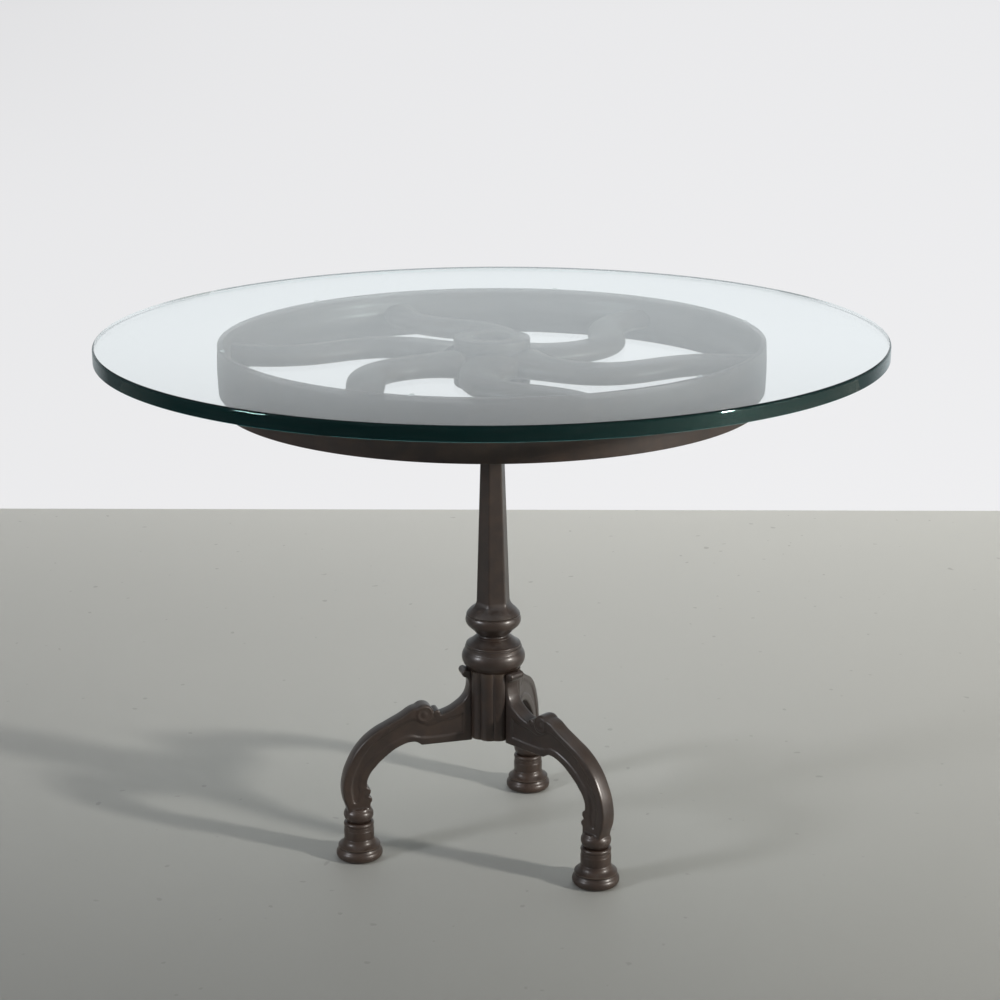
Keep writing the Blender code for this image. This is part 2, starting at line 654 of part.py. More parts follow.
# Leg: flat-sided casting with a sunk panel on each side, knee scroll, ankle ring and dovetail tongue
def leg_mesh():
    half = LEG_THICK / 2
    stand_up = Matrix.Rotation(math.radians(90), 4, 'X')

    def across(name, diameter, radius, height, length, middle=0.0):
        mesh = cylinder(name, diameter / 2, -length / 2, length / 2, FOOT_STEPS)
        mesh.transform(stand_up)
        mesh.transform(Matrix.Translation((radius, middle, height)))
        return helper(name, mesh)

    points, corners = leg_side()
    flat = outline("leg", points, half, corners, resolution=2)
    flat.transform(stand_up)
    leg = helper("leg", flat)
    rounding = leg.modifiers.new("Rounding", 'BEVEL')
    rounding.width = LEG_EDGE_ROUND
    rounding.segments = 1
    rounding.limit_method = 'ANGLE'
    rounding.angle_limit = math.radians(60)
    points, corners = panel_side()
    panel = outline("panel", points, half, corners, resolution=1)
    panel.transform(stand_up)
    for side in (-1, 1):
        tool = helper(f"panel_{side}", panel)
        tool.location.y = side * (2 * half - PANEL_DEPTH)
        combine(leg, tool, 'DIFFERENCE')
    scroll_width = LEG_THICK + 2 * KNEE_SCROLL_PROUD
    combine(leg, across("knee_scroll", KNEE_SCROLL, KNEE_RADIUS, KNEE_HEIGHT, scroll_width), 'UNION')
    bead = across("bead", BEAD_DIAMETER, KNEE_RADIUS - BEAD_BACK, KNEE_HEIGHT - BEAD_DROP,
                  LEG_THICK + 2 * BEAD_PROUD)
    combine(leg, bead, 'UNION')
    for side in (-1, 1):
        eye = across(f"knee_eye_{side}", KNEE_EYE, KNEE_RADIUS, KNEE_HEIGHT, 2 * KNEE_EYE_DEPTH,
                     side * scroll_width / 2)
        combine(leg, eye, 'DIFFERENCE')
    ring_radius = ANKLE_RING_DIAMETER / 2
    ring_core = ring_radius * ANKLE_RING_CORE_SHARE
    half_ring = ANKLE_RING_HEIGHT / 2
    ring_top = ANKLE_HEIGHT + ANKLE_RING_HEIGHT
    ring = [(0.0, ring_top), (ring_core, ring_top)]
    ring += arc(ring_core, ANKLE_HEIGHT + half_ring, ring_radius - ring_core, half_ring, 66, -66, 4)
    ring += [(ring_core, ANKLE_HEIGHT), (0.0, ANKLE_HEIGHT)]
    ankle = turned("ankle_ring", ring, FOOT_STEPS)
    ankle.transform(Matrix.Translation((FOOT_RADIUS, 0.0, 0.0)))
    combine(leg, helper("ankle_ring", ankle), 'UNION')
    tongue = prism("tongue", dovetail(0.0), BOSS_BASE, TONGUE_TOP)
    combine(leg, helper("tongue", tongue), 'UNION')
    notch = cylinder("plate_notch", POCKET_RADIUS + FIT_GAP, LEG_BASE - OVERCUT, POCKET_TOP)
    combine(leg, helper("plate_notch", notch), 'DIFFERENCE')
    socket = cylinder("stud_socket", STUD_DIAMETER / 2 + FIT_GAP, ANKLE_HEIGHT - OVERCUT,
                      ANKLE_HEIGHT + STUD_LENGTH + STUD_SPARE, SCREW_SIDES)
    socket.transform(Matrix.Translation((FOOT_RADIUS, 0.0, 0.0)))
    combine(leg, helper("stud_socket", socket), 'DIFFERENCE')
    hole = cylinder("bolt_socket", BOLT_DIAMETER / 2 + FIT_GAP, POCKET_TOP - OVERCUT,
                    PLATE_BASE + BOLT_REACH + FIT_GAP, SCREW_SIDES)
    hole.transform(Matrix.Translation((BOLT_CIRCLE_RADIUS, 0.0, 0.0)))
    combine(leg, helper("bolt_socket", hole), 'DIFFERENCE')
    return evaluated_mesh(leg)


# Turned foot: stud up into the leg, grooved cup, cove, shoulder, swelling base and flat sole
def foot_mesh():
    top = ANKLE_HEIGHT - SEAT_GAP
    stud = STUD_DIAMETER / 2
    cup = CUP_DIAMETER / 2
    base = FOOT_BASE_DIAMETER / 2
    sole = SOLE_DIAMETER / 2
    shoulder = (base + cup) / 2
    lip = top - CUP_LIP_HEIGHT
    shoulder_top = FOOT_BULGE_HEIGHT + FOOT_SWELL_HEIGHT + FOOT_SHOULDER_HEIGHT
    shoulder_foot = shoulder_top - FOOT_SHOULDER_FALL
    profile = [
        (0.0, top + STUD_LENGTH),
        (stud, top + STUD_LENGTH),
        (stud, top),
        (FOOT_NECK_DIAMETER / 2, top),
        (cup - CUP_LIP_ROUND, top - CUP_LIP_HEIGHT / 2),
        (cup, lip),
        (cup - CUP_GROOVE_DEPTH, lip - CUP_GROOVE_HEIGHT / 2),
        (cup, lip - CUP_GROOVE_HEIGHT),
        (cup, shoulder_top + FOOT_COVE_HEIGHT),
        (cup + FOOT_COVE_REACH, shoulder_top),
        (shoulder, shoulder_foot),
        (shoulder + FOOT_SHOULDER_STEP, shoulder_foot - FOOT_SHOULDER_FALL),
    ]
    profile += arc(sole, FOOT_BULGE_HEIGHT, base - sole, FOOT_SWELL_HEIGHT, 70, 0, 4)
    profile += arc(sole, FOOT_BULGE_HEIGHT, base - sole, FOOT_BULGE_HEIGHT, -35, -90, 3)
    profile.append((0.0, 0.0))
    return turned("foot", profile, FOOT_STEPS)


# Three legs and three feet, each set about the axis
def legs_and_feet():
    leg = leg_mesh()
    foot = foot_mesh()
    for index, angle in enumerate(LEG_ANGLES):
        part = place(f"leg_{index + 1}", leg)
        part.rotation_euler.z = math.radians(angle)
        under = place(f"foot_{index + 1}", foot)
        under.location = along(angle, FOOT_RADIUS)
        if index == 0:
            finish(part, IRON, 0.55, 0.6)
            finish(under, IRON, 0.5, 0.6)


# Round plate that closes the legs' slots from below, and its bolts up into the tongues
def leg_plate():
    part = place("leg_plate", cylinder("leg_plate", POCKET_RADIUS - FIT_GAP, PLATE_BASE, PLATE_TOP))
    hole = cylinder("plate_bore", ROD_HOLE, PLATE_BASE - OVERCUT, PLATE_TOP + OVERCUT)
    combine(part, helper("plate_bore", hole), 'DIFFERENCE')
    head_top = PLATE_BASE - SEAT_GAP
    head_middle = head_top - BOLT_HEAD_HEIGHT / 2
    shank = cylinder("plate_bolt", BOLT_DIAMETER / 2, head_middle, PLATE_BASE + BOLT_REACH, SCREW_SIDES)
    head = cylinder("bolt_head", BOLT_HEAD / math.sqrt(3), head_top - BOLT_HEAD_HEIGHT, head_top, sides=6)
    hole = cylinder("bolt_hole", BOLT_DIAMETER / 2 + FIT_GAP, PLATE_BASE - OVERCUT, PLATE_TOP + OVERCUT,
                    SCREW_SIDES)
    for index, angle in enumerate(LEG_ANGLES):
        spot = along(angle, BOLT_CIRCLE_RADIUS)
        tool = helper(f"bolt_hole_{index + 1}", hole)
        tool.location = spot
        combine(part, tool, 'DIFFERENCE')
        bolt = place(f"plate_bolt_{index + 1}", shank.copy())
        bolt.location = spot
        cap = helper(f"bolt_head_{index + 1}", head)
        cap.location = spot
        combine(bolt, cap, 'UNION')
        finish(bolt, STEEL, 0.5, 0.9)
    finish(part, STEEL, 0.6, 0.8)


glass_top()
glass_pads()
pulley_wheel()
set_screws()
column()
tie_rod()
leg_hub()
legs_and_feet()
leg_plate()
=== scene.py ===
"""Round glass table on a cast-iron pulley wheel, a hexagonal column and three scrolled legs.

Metres, +Z up, the origin on the floor under the column. The sections follow the table as it is
put together, from the feet up to the glass, and then the room it stands in.
"""
import math

import bmesh
import bpy
from mathutils import Matrix, Vector


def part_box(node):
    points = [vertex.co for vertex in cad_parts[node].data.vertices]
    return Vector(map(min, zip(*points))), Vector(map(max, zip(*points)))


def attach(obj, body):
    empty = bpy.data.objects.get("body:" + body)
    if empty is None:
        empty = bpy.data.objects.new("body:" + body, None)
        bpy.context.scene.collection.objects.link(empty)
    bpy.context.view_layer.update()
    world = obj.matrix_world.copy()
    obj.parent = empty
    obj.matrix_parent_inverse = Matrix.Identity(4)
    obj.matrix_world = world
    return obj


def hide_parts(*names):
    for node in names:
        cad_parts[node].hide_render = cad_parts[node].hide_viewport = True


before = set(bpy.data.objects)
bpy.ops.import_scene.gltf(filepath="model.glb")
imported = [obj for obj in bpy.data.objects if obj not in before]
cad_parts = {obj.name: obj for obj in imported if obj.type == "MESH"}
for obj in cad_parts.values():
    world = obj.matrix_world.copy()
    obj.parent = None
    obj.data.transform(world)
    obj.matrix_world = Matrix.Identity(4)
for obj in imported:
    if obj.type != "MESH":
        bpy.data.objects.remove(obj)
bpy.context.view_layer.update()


# Feet: three cast-iron cups on spreading bases, one under each leg.
# Each is cast in sand, turned on the outside and screwed up into its leg by a stud; the wax on
# them is rubbed through on the widest mouldings.
LEG_TURNS = [math.radians(angle) for angle in (-90, 30, 150)]
FOOT_REACH = 0.199
FOOT_TOP = 0.0560
STUD_RADIUS = 0.0060
STUD_CHAMFER = 0.0006
FOOT_STEPS = 72
TURNED_MERGE = 0.000001
SMOOTH_UP_TO = math.radians(34)
IRON_BLACK = (0.0162, 0.0112, 0.0096, 1.0)
IRON_BROWN = (0.0455, 0.0264, 0.0172, 1.0)
IRON_RUBBED = (0.108, 0.084, 0.060, 1.0)
# Colour of the hollows: partly grime, partly painted shade.
IRON_GRIME_AND_SHADE = (0.0085, 0.0060, 0.0052, 1.0)


def heights(node):
    """The lowest and the highest point of a node of the CAD model."""
    low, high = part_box(node)
    return low.z, high.z


class Wire:
    """A socket in a material's nodes; sums written on values add Math nodes."""

    def __init__(self, tree, socket=None):
        self.tree = tree
        self.socket = socket

    def fill(self, node, inputs):
        """Links wires to a node's sockets and sets plain values on the others."""
        for name, value in inputs.items():
            if isinstance(value, Wire):
                self.tree.links.new(value.socket, node.inputs[name])
            else:
                node.inputs[name].default_value = value

    def node(self, kind, settings=None, inputs=None, out=0):
        """Adds a node, makes its settings, fills its sockets and gives one of its outputs."""
        made = self.tree.nodes.new(kind)
        for name, value in (settings or {}).items():
            setattr(made, name, value)
        self.fill(made, inputs or {})
        return Wire(self.tree, made.outputs[out])

    def maths(self, operation, *values):
        return self.node("ShaderNodeMath", {"operation": operation}, dict(enumerate(values)))

    def __add__(self, other):
        return self.maths('ADD', self, other)

    def __sub__(self, other):
        return self.maths('SUBTRACT', self, other)

    def __rsub__(self, other):
        return self.maths('SUBTRACT', other, self)

    def __mul__(self, other):
        return self.maths('MULTIPLY', self, other)

    __radd__ = __add__
    __rmul__ = __mul__

    def between(self, low, high):
        """Rises smoothly from 0 at one value to 1 at another."""
        inputs = {"Value": self, "From Min": low, "From Max": high}
        return self.node("ShaderNodeMapRange", {"interpolation_type": 'SMOOTHSTEP'}, inputs)

    def blend(self, first, second):
        """A colour between two, with this value as the second one's share."""
        return self.node("ShaderNodeMix", {"data_type": 'RGBA'}, {0: self, 6: first, 7: second}, out=2)

    def noise(self, scale, detail, stretch=(1.0, 1.0, 1.0)):
        """Cloudy values about 0.5 in the piece's own coordinates."""
        place = self.node("ShaderNodeTexCoord", out="Object")
        place = self.node("ShaderNodeMapping", {}, {"Vector": place, "Scale": stretch})
        inputs = {"Vector": place, "Scale": scale, "Detail": detail, "Roughness": 0.6}
        return self.node("ShaderNodeTexNoise", {}, inputs)


def new_finish(name):
    """A new material, its shader node and the start of its wiring."""
    made = bpy.data.materials.new(name)
    made.use_nodes = True
    return made, made.node_tree.nodes["Principled BSDF"], Wire(made.node_tree)


def cast_iron(name, wax):
    """Sand-cast iron under dark wax: browner near the floor, rubbed on high spots, grime and painted shade
    in hollows.
    """
    made, shader, wire = new_finish(name)
    clouds = wire.noise(scale=7.0, detail=4.0)
    patches = wire.noise(scale=52.0, detail=5.0)
    sand = wire.noise(scale=620.0, detail=3.0)
    pits = wire.noise(scale=260.0, detail=2.0).between(0.66, 0.80)
    place = wire.node("ShaderNodeTexCoord", out="Object")
    height = wire.node("ShaderNodeSeparateXYZ", {}, {0: place}, out="Z")
    brown = clouds.between(0.34, 0.66) * 0.5 + patches.between(0.36, 0.70) * 0.5
    brown = brown * 0.75 + height.between(0.42, 0.02) * 0.35
    curve = wire.node("ShaderNodeNewGeometry", out="Pointiness")
    rubbed = curve.between(0.515, 0.600) * (patches * 0.9 + 0.35)
    # Hollows are darkened, partly by grime and partly by painted shade where occlusion would fall.
    grime_and_shade = curve.between(0.495, 0.45)
    worn_off = height.between(0.07, 0.03)
    colour = brown.blend(IRON_BLACK, IRON_BROWN)
    colour = (rubbed * 0.8).blend(colour, IRON_RUBBED)
    colour = (grime_and_shade * 0.8).blend(colour, IRON_GRIME_AND_SHADE)
    grain = sand * 0.5 + patches * 0.3 - pits * 0.8
    bump = wire.node("ShaderNodeBump", {}, {"Strength": 0.35, "Distance": 0.0006, "Height": grain})
    wire.fill(shader, {
        "Base Color": colour,
        "Metallic": rubbed * 0.35 + 0.10,
        "Roughness": 0.62 - wax * 0.12 + (patches - 0.5) * 0.30 - rubbed * 0.12 + grime_and_shade * 0.15,
        "Specular IOR Level": 0.2 + wax * 0.2,
        "Coat Weight": (0.58 + (clouds - 0.5) * 0.4 - grime_and_shade * 0.4 - worn_off * 0.2) * wax,
        "Coat Roughness": 0.29,
        "Normal": bump,
    })
    return made


def arc(centre, reach, start, end, steps):
    """Points on an elliptical arc of a profile, between two angles in degrees."""
    points = []
    for step in range(steps + 1):
        angle = math.radians(start + (end - start) * step / steps)
        points.append((centre[0] + reach[0] * math.cos(angle), centre[1] + reach[1] * math.sin(angle)))
    return points


def turned(profile, steps):
    """A shape turned about Z. A profile that doesn't start on the axis closes on itself."""
    shape = bmesh.new()
    points = [shape.verts.new((radius, 0.0, height)) for radius, height in profile]
    ring = points if profile[0][0] == 0.0 else points + points[:1]
    for first, second in zip(ring, ring[1:]):
        shape.edges.new((first, second))
    bmesh.ops.spin(shape, geom=shape.verts[:] + shape.edges[:], cent=(0.0, 0.0, 0.0),
                   axis=(0.0, 0.0, 1.0), angle=math.tau, steps=steps, use_merge=True)
    bmesh.ops.remove_doubles(shape, verts=shape.verts, dist=TURNED_MERGE)
    bmesh.ops.recalc_face_normals(shape, faces=shape.faces)
    return shape


def moved(shape, *moves):
    """The shape after some moves, the last one done first."""
    for move in reversed(moves):
        bmesh.ops.transform(shape, matrix=move, verts=shape.verts)
    return shape


def about_z(angle):
    return Matrix.Rotation(angle, 4, 'Z')


def hand_in(shape, name, node, finishes, body="pedestal", smooth=SMOOTH_UP_TO):
    """Makes a shape the piece that stands for a node of the CAD model."""
    mesh = bpy.data.meshes.new(name)
    shape.to_mesh(mesh)
    shape.free()
    for each in finishes if isinstance(finishes, tuple) else (finishes,):
        mesh.materials.append(each)
    mesh.shade_smooth()
    mesh.set_sharp_from_angle(angle=smooth)
    made = bpy.data.objects.new(name, mesh)
    bpy.context.scene.collection.objects.link(made)
    made.modifiers.new("even_shading", 'WEIGHTED_NORMAL').keep_sharp = True
    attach(made, body)
    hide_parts(node)


iron = cast_iron("waxed_cast_iron", 1.0)
stud_top = heights("foot_1")[1]
foot_profile = [(0.0, stud_top), (STUD_RADIUS - STUD_CHAMFER, stud_top)]
foot_profile += [(STUD_RADIUS, stud_top - STUD_CHAMFER), (STUD_RADIUS, FOOT_TOP), (0.0165, FOOT_TOP)]
foot_profile += arc((0.0186, 0.0524), (0.0029, 0.0034), 100, -48, 8)
foot_profile += arc((0.0222, 0.0472), (0.0015, 0.0018), 150, 210, 3)
foot_profile += arc((0.0199, 0.0428), (0.0016, 0.0022), 50, -8, 3)
foot_profile += [(0.0214, 0.0360), (0.0212, 0.0318), (0.0208, 0.0309), (0.0213, 0.0300), (0.0216, 0.0286)]
foot_profile += [(0.0222, 0.0266), (0.0233, 0.0247), (0.0249, 0.0230), (0.0268, 0.0217), (0.0288, 0.0208)]
foot_profile += [(0.0298, 0.0200), (0.0300, 0.0190), (0.0293, 0.0180), (0.0288, 0.0172), (0.0292, 0.0164)]
foot_profile += arc((0.0258, 0.0078), (0.0072, 0.0082), 54, 0, 7)
foot_profile += arc((0.0258, 0.0078), (0.0072, 0.0078), -11, -88, 7)
foot_profile += [(0.0250, 0.0), (0.0, 0.0)]
for number, turn in enumerate(LEG_TURNS, 1):
    foot = turned(foot_profile, FOOT_STEPS)
    moved(foot, about_z(turn), Matrix.Translation((FOOT_REACH, 0.0, 0.0)))
    hand_in(foot, f"foot_{number}_turned", f"foot_{number}", iron)


# Legs: three scrolled iron legs, each sand cast in one piece with its sunk side panels, knee scroll,
# bead and ankle ring, then filed and waxed. A dovetail tongue slides up into the hub, and a blind
# hole at the ankle takes the foot's stud.
FIT_GAP = 0.0003
LEG_THICK = 0.024
LEG_SEAT = 0.0343
LEG_BASE = 0.164
HUB_BASE, HUB_TOP = heights("leg_hub")
KNEE_SPOT = (0.104, 0.2105)
ANKLE_HEIGHT = heights("leg_1")[0]
CROWN_LAYERS = ((0.0080, 0.0), (0.0150, 0.0003), (0.0200, 0.0007))
CROWN_DROP = 0.0013
PANEL_DEPTH = 0.0017
SCROLL_RADIUS = 0.0138
SCROLL_WIDTH = 0.0262
VOLUTE_BEAD = 0.0010
VOLUTE_START = 35
VOLUTE_SWEEP = 430
VOLUTE_INSET = 0.0020
VOLUTE_WIND = 0.0032
VOLUTE_STEPS = 48
EYE_RADIUS = 0.0042
EYE_RISE = 0.0008
CASTING_GRAIN = 0.0011
CASTING_SMOOTH = 7
OUTLINE_STEPS = 6
OUTLINE_MERGE = 0.00001
CUT_MERGE = 0.000002
TONGUE_BACK = 0.0180
TONGUE_BURIED = 0.0030
TONGUE_DROP = 0.020
TONGUE_TOP = HUB_TOP - TONGUE_DROP
TONGUE_HALF_BACK = 0.008
TONGUE_HALF_FRONT = 0.006
STUD_HOLE_RADIUS = STUD_RADIUS + FIT_GAP
STUD_HOLE_TOP = 0.0823
STUD_HOLE_SIDES = 32
POCKET_RADIUS = 0.0323
POCKET_TOP = heights("leg_plate")[1] + FIT_GAP
POCKET_SIDES = 64
BOLT_REACH = 0.023
BOLT_RADIUS = 0.0025
BOLT_HOLE_RADIUS = BOLT_RADIUS + FIT_GAP
BOLT_HOLE_TOP = heights("plate_bolt_1")[1] + FIT_GAP
BOLT_SIDES = 24
CUT_PAST = 0.02
ROLL_SIDES = 40
ROUND_SEGMENTS = 3


def neck(right, up):
    """A point of a leg's side view, from the top of its seat on the hub."""
    return (LEG_SEAT + right, HUB_TOP + up)


def knee(right, up):
    """A point of a leg's side view, from the middle of the knee scroll."""
    return (KNEE_SPOT[0] + right, KNEE_SPOT[1] + up)


def ankle(right, up):
    """A point of a leg's side view, from the foot of the ankle ring."""
    return (FOOT_REACH + right, ANKLE_HEIGHT + up)


def work_object(data):
    """A throwaway object that a modifier or a curve is worked out on."""
    made = bpy.data.objects.new("work", data)
    bpy.context.scene.collection.objects.link(made)
    return made


def worked_out(thing):
    """The shape that an object's curve or modifiers give; the object is removed."""
    graph = bpy.context.evaluated_depsgraph_get()
    mesh = bpy.data.meshes.new_from_object(thing.evaluated_get(graph))
    bpy.data.objects.remove(thing)
    shape = bmesh.new()
    shape.from_mesh(mesh)
    bpy.data.meshes.remove(mesh)
    return shape


def as_mesh(*shapes):
    """One mesh that holds several shapes, which are used up."""
    mesh = bpy.data.meshes.new("work")
    whole = bmesh.new()
    for shape in shapes:
        shape.to_mesh(mesh)
        shape.free()
        whole.from_mesh(mesh)
    whole.to_mesh(mesh)
    whole.free()
    return mesh


def combine(shape, tool, operation):
    """Cuts a shape by a tool, joins the two or keeps what they share; both are used up."""
    body = work_object(as_mesh(shape))
    other = work_object(as_mesh(tool))
    change = body.modifiers.new("combine", 'BOOLEAN')
    change.operation = operation
    change.solver = 'EXACT'
    change.object = other
    result = worked_out(body)
    bpy.data.objects.remove(other)
    bmesh.ops.remove_doubles(result, verts=result.verts, dist=CUT_MERGE)
    bmesh.ops.recalc_face_normals(result, faces=result.faces)
    return result


def plate(points, corners, thick, middle=0.0):
    """An upright plate cut to an outline in X and Z; points not among the corners lie on curves."""
    curve = bpy.data.curves.new("outline", 'CURVE')
    curve.dimensions = '2D'
    curve.fill_mode = 'NONE'
    curve.resolution_u = OUTLINE_STEPS
    spline = curve.splines.new('BEZIER')
    spline.bezier_points.add(len(points) - 1)
    spline.use_cyclic_u = True
    for knot, point in zip(spline.bezier_points, points):
        knot.co = (*point, 0.0)
        knot.handle_left_type = knot.handle_right_type = 'VECTOR' if point in corners else 'AUTO'
    shape = worked_out(work_object(curve))
    bmesh.ops.remove_doubles(shape, verts=shape.verts, dist=OUTLINE_MERGE)
    bmesh.ops.contextual_create(shape, geom=shape.edges[:])
    grown = bmesh.ops.extrude_face_region(shape, geom=shape.faces[:])["geom"]
    risen = [part for part in grown if isinstance(part, bmesh.types.BMVert)]
    bmesh.ops.translate(shape, verts=risen, vec=(0.0, 0.0, thick))
    bmesh.ops.recalc_face_normals(shape, faces=shape.faces)
    stand_up = Matrix.Rotation(math.radians(90), 4, 'X')
    return moved(shape, Matrix.Translation((0.0, middle + thick / 2, 0.0)), stand_up)


def drum(radius, low, high, sides, edge=0.0):
    """An upright drum or prism between two heights; with an edge, its rims are rounded."""
    shape = bmesh.new()
    bmesh.ops.create_cone(shape, cap_ends=True, segments=sides, radius1=radius, radius2=radius,
                          depth=high - low, matrix=Matrix.Translation((0.0, 0.0, (low + high) / 2)))
    if edge:
        rims = [line for line in shape.edges if abs(line.verts[0].co.z - line.verts[1].co.z) < edge / 10]
        bmesh.ops.bevel(shape, geom=rims, offset=edge, offset_type='OFFSET', segments=ROUND_SEGMENTS,
                        profile=0.5, affect='EDGES', material=-1, clamp_overlap=False)
    return shape


def roll(radius, spot, width, edge):
    """A round bar lying across a leg at a spot of its side view."""
    lie_down = Matrix.Rotation(math.radians(90), 4, 'X')
    shape = drum(radius, -width / 2, width / 2, ROLL_SIDES, edge)
    return moved(shape, Matrix.Translation((spot[0], 0.0, spot[1])), lie_down)


def volute(side):
    """The moulding that winds in round the knee scroll's eye, on one side of a leg."""
    curve = bpy.data.curves.new("volute", 'CURVE')
    curve.dimensions = '3D'
    curve.bevel_depth = VOLUTE_BEAD
    curve.bevel_resolution = 3
    curve.use_fill_caps = True
    spline = curve.splines.new('POLY')
    spline.points.add(VOLUTE_STEPS)
    for step, point in enumerate(spline.points):
        share = step / VOLUTE_STEPS
        angle = math.radians(VOLUTE_START + VOLUTE_SWEEP * share)
        reach = SCROLL_RADIUS - VOLUTE_INSET - VOLUTE_WIND * share
        point.co = (KNEE_SPOT[0] + reach * math.cos(angle), side * SCROLL_WIDTH / 2,
                    KNEE_SPOT[1] + reach * math.sin(angle), 1.0)
    return worked_out(work_object(curve))


def dovetail(back, front):
    """The leg's tongue, wider at its back, between two distances from the axis."""
    shape = drum(1.0, HUB_BASE, TONGUE_TOP, 4)
    for vert in shape.verts:
        outer = vert.co.x + vert.co.y > 0.0
        left = vert.co.y > vert.co.x
        vert.co.x = front if outer else back
        vert.co.y = (TONGUE_HALF_FRONT if outer else TONGUE_HALF_BACK) * (1 if left else -1)
    return shape


def drawn_in(points, drop):
    """Points of a leg's back, moved in towards the belly."""
    result = []
    for before, point, after in zip(points[:1] + points, points, points[1:] + points[-1:]):
        along = (Vector(after) - Vector(before)).normalized()
        result.append((point[0] + along.y * drop, point[1] - along.x * drop))
    return result


def leg_casting():
    """One leg along X: a crowned plate with sunk panels, scroll, beads and ankle ring cast together."""
    crest = [neck(0.0, 0.0), neck(0.0050, 0.0)]
    back = [
        neck(0.0112, 0.0006), neck(0.0138, -0.0042), neck(0.0126, -0.0082), neck(0.0084, -0.0108),
        neck(0.0056, -0.0150), neck(0.0058, -0.0290), neck(0.0098, -0.0395),
        neck(0.0210, -0.0500), knee(-0.0330, 0.0000), knee(-0.0200, -0.0020), knee(-0.0060, 0.0084),
        knee(0.0130, 0.0098), knee(0.0330, -0.0010), knee(0.0530, -0.0110), knee(0.0730, -0.0215),
        ankle(-0.0015, 0.1147), ankle(0.0140, 0.0902), ankle(0.0230, 0.0632), ankle(0.0235, 0.0392),
        ankle(0.0175, 0.0182),
    ]
    foot_end = [ankle(0.0165, 0.0080), ankle(-0.0150, 0.0080)]
    belly = [
        ankle(-0.0155, 0.0232), ankle(-0.0146, 0.0360), ankle(-0.0112, 0.0552), ankle(-0.0140, 0.0682),
        ankle(-0.0255, 0.0837), knee(0.0540, -0.0565), knee(0.0390, -0.0465), knee(0.0210, -0.0405),
        knee(0.0110, -0.0415),
    ]
    root = [(knee(0.0040, 0.0)[0], LEG_BASE), (LEG_SEAT, LEG_BASE)]
    corners = crest + foot_end + root
    crown = [plate(crest + drawn_in(back, drop) + foot_end + belly + root, corners, thick)
             for thick, drop in CROWN_LAYERS]
    leg = plate(crest + drawn_in(back, CROWN_DROP) + foot_end + belly + root, corners, LEG_THICK)
    panel_root = [(neck(0.0130, 0.0)[0], LEG_BASE + 0.0117), neck(0.0130, -0.0610)]
    panel = [
        neck(0.0240, -0.0665), knee(-0.0240, -0.0120), knee(-0.0040, -0.0160), knee(0.0160, -0.0060),
        knee(0.0330, -0.0120), knee(0.0530, -0.0220), knee(0.0680, -0.0310), ankle(-0.0110, 0.1072),
        ankle(0.0025, 0.0847), ankle(0.0105, 0.0612), ankle(0.0105, 0.0412), ankle(0.0060, 0.0292),
        ankle(-0.0015, 0.0432), ankle(-0.0005, 0.0572), ankle(-0.0045, 0.0747), ankle(-0.0175, 0.0917),
        knee(0.0600, -0.0470), knee(0.0410, -0.0365), knee(0.0210, -0.0310), knee(0.0040, -0.0350),
    ]
    for side in (-1, 1):
        sunk = plate(panel_root + panel, panel_root, LEG_THICK, side * (LEG_THICK - PANEL_DEPTH))
        leg = combine(leg, sunk, 'DIFFERENCE')
    bead = roll(radius=0.0050, spot=knee(-0.0185, -0.0010), width=LEG_THICK + 0.0014, edge=0.0012)
    upper_knob = roll(radius=0.0066, spot=ankle(-0.0098, 0.0460), width=LEG_THICK + 0.0008, edge=0.0014)
    lower_knob = roll(radius=0.0056, spot=ankle(-0.0126, 0.0330), width=LEG_THICK + 0.0004, edge=0.0012)
    scroll = roll(SCROLL_RADIUS, KNEE_SPOT, SCROLL_WIDTH, edge=0.0040)
    eye = roll(EYE_RADIUS, KNEE_SPOT, SCROLL_WIDTH + 2 * EYE_RISE, edge=0.0015)
    top_roll = roll(radius=0.0058, spot=neck(0.0086, -0.0038), width=LEG_THICK + 0.0010, edge=0.0014)
    ring_profile = [(0.0, 0.0772), (0.0160, 0.0772), (0.0178, 0.0764), (0.0172, 0.0752)]
    ring_profile += arc((0.0165, 0.0662), (0.0048, 0.0080), 74, -74, 10)
    ring_profile += [(0.0171, 0.0575), (0.0178, 0.0569), (0.0172, ANKLE_HEIGHT), (0.0, ANKLE_HEIGHT)]
    ring = moved(turned(ring_profile, FOOT_STEPS), Matrix.Translation((FOOT_REACH, 0.0, 0.0)))
    lumps = (leg, *crown, bead, upper_knob, lower_knob, scroll, eye, top_roll, volute(-1), volute(1), ring)
    rough = work_object(as_mesh(*lumps))
    skin = rough.modifiers.new("casting", 'REMESH')
    skin.mode = 'VOXEL'
    skin.voxel_size = CASTING_GRAIN
    soft = rough.modifiers.new("fettled", 'SMOOTH')
    soft.factor = 0.5
    soft.iterations = CASTING_SMOOTH
    leg = worked_out(rough)
    leg = combine(leg, dovetail(TONGUE_BACK, LEG_SEAT + TONGUE_BURIED), 'UNION')
    leg = combine(leg, drum(POCKET_RADIUS, LEG_BASE - CUT_PAST, POCKET_TOP, POCKET_SIDES), 'DIFFERENCE')
    stud_hole = drum(STUD_HOLE_RADIUS, ANKLE_HEIGHT - CUT_PAST, STUD_HOLE_TOP, STUD_HOLE_SIDES)
    leg = combine(leg, moved(stud_hole, Matrix.Translation((FOOT_REACH, 0.0, 0.0))), 'DIFFERENCE')
    bolt_hole = drum(BOLT_HOLE_RADIUS, POCKET_TOP - CUT_PAST, BOLT_HOLE_TOP, BOLT_SIDES)
    return combine(leg, moved(bolt_hole, Matrix.Translation((BOLT_REACH, 0.0, 0.0))), 'DIFFERENCE')


leg = leg_casting()
for number, turn in enumerate(LEG_TURNS, 1):
    hand_in(moved(leg.copy(), about_z(turn)), f"leg_{number}_cast", f"leg_{number}", iron)
leg.free()


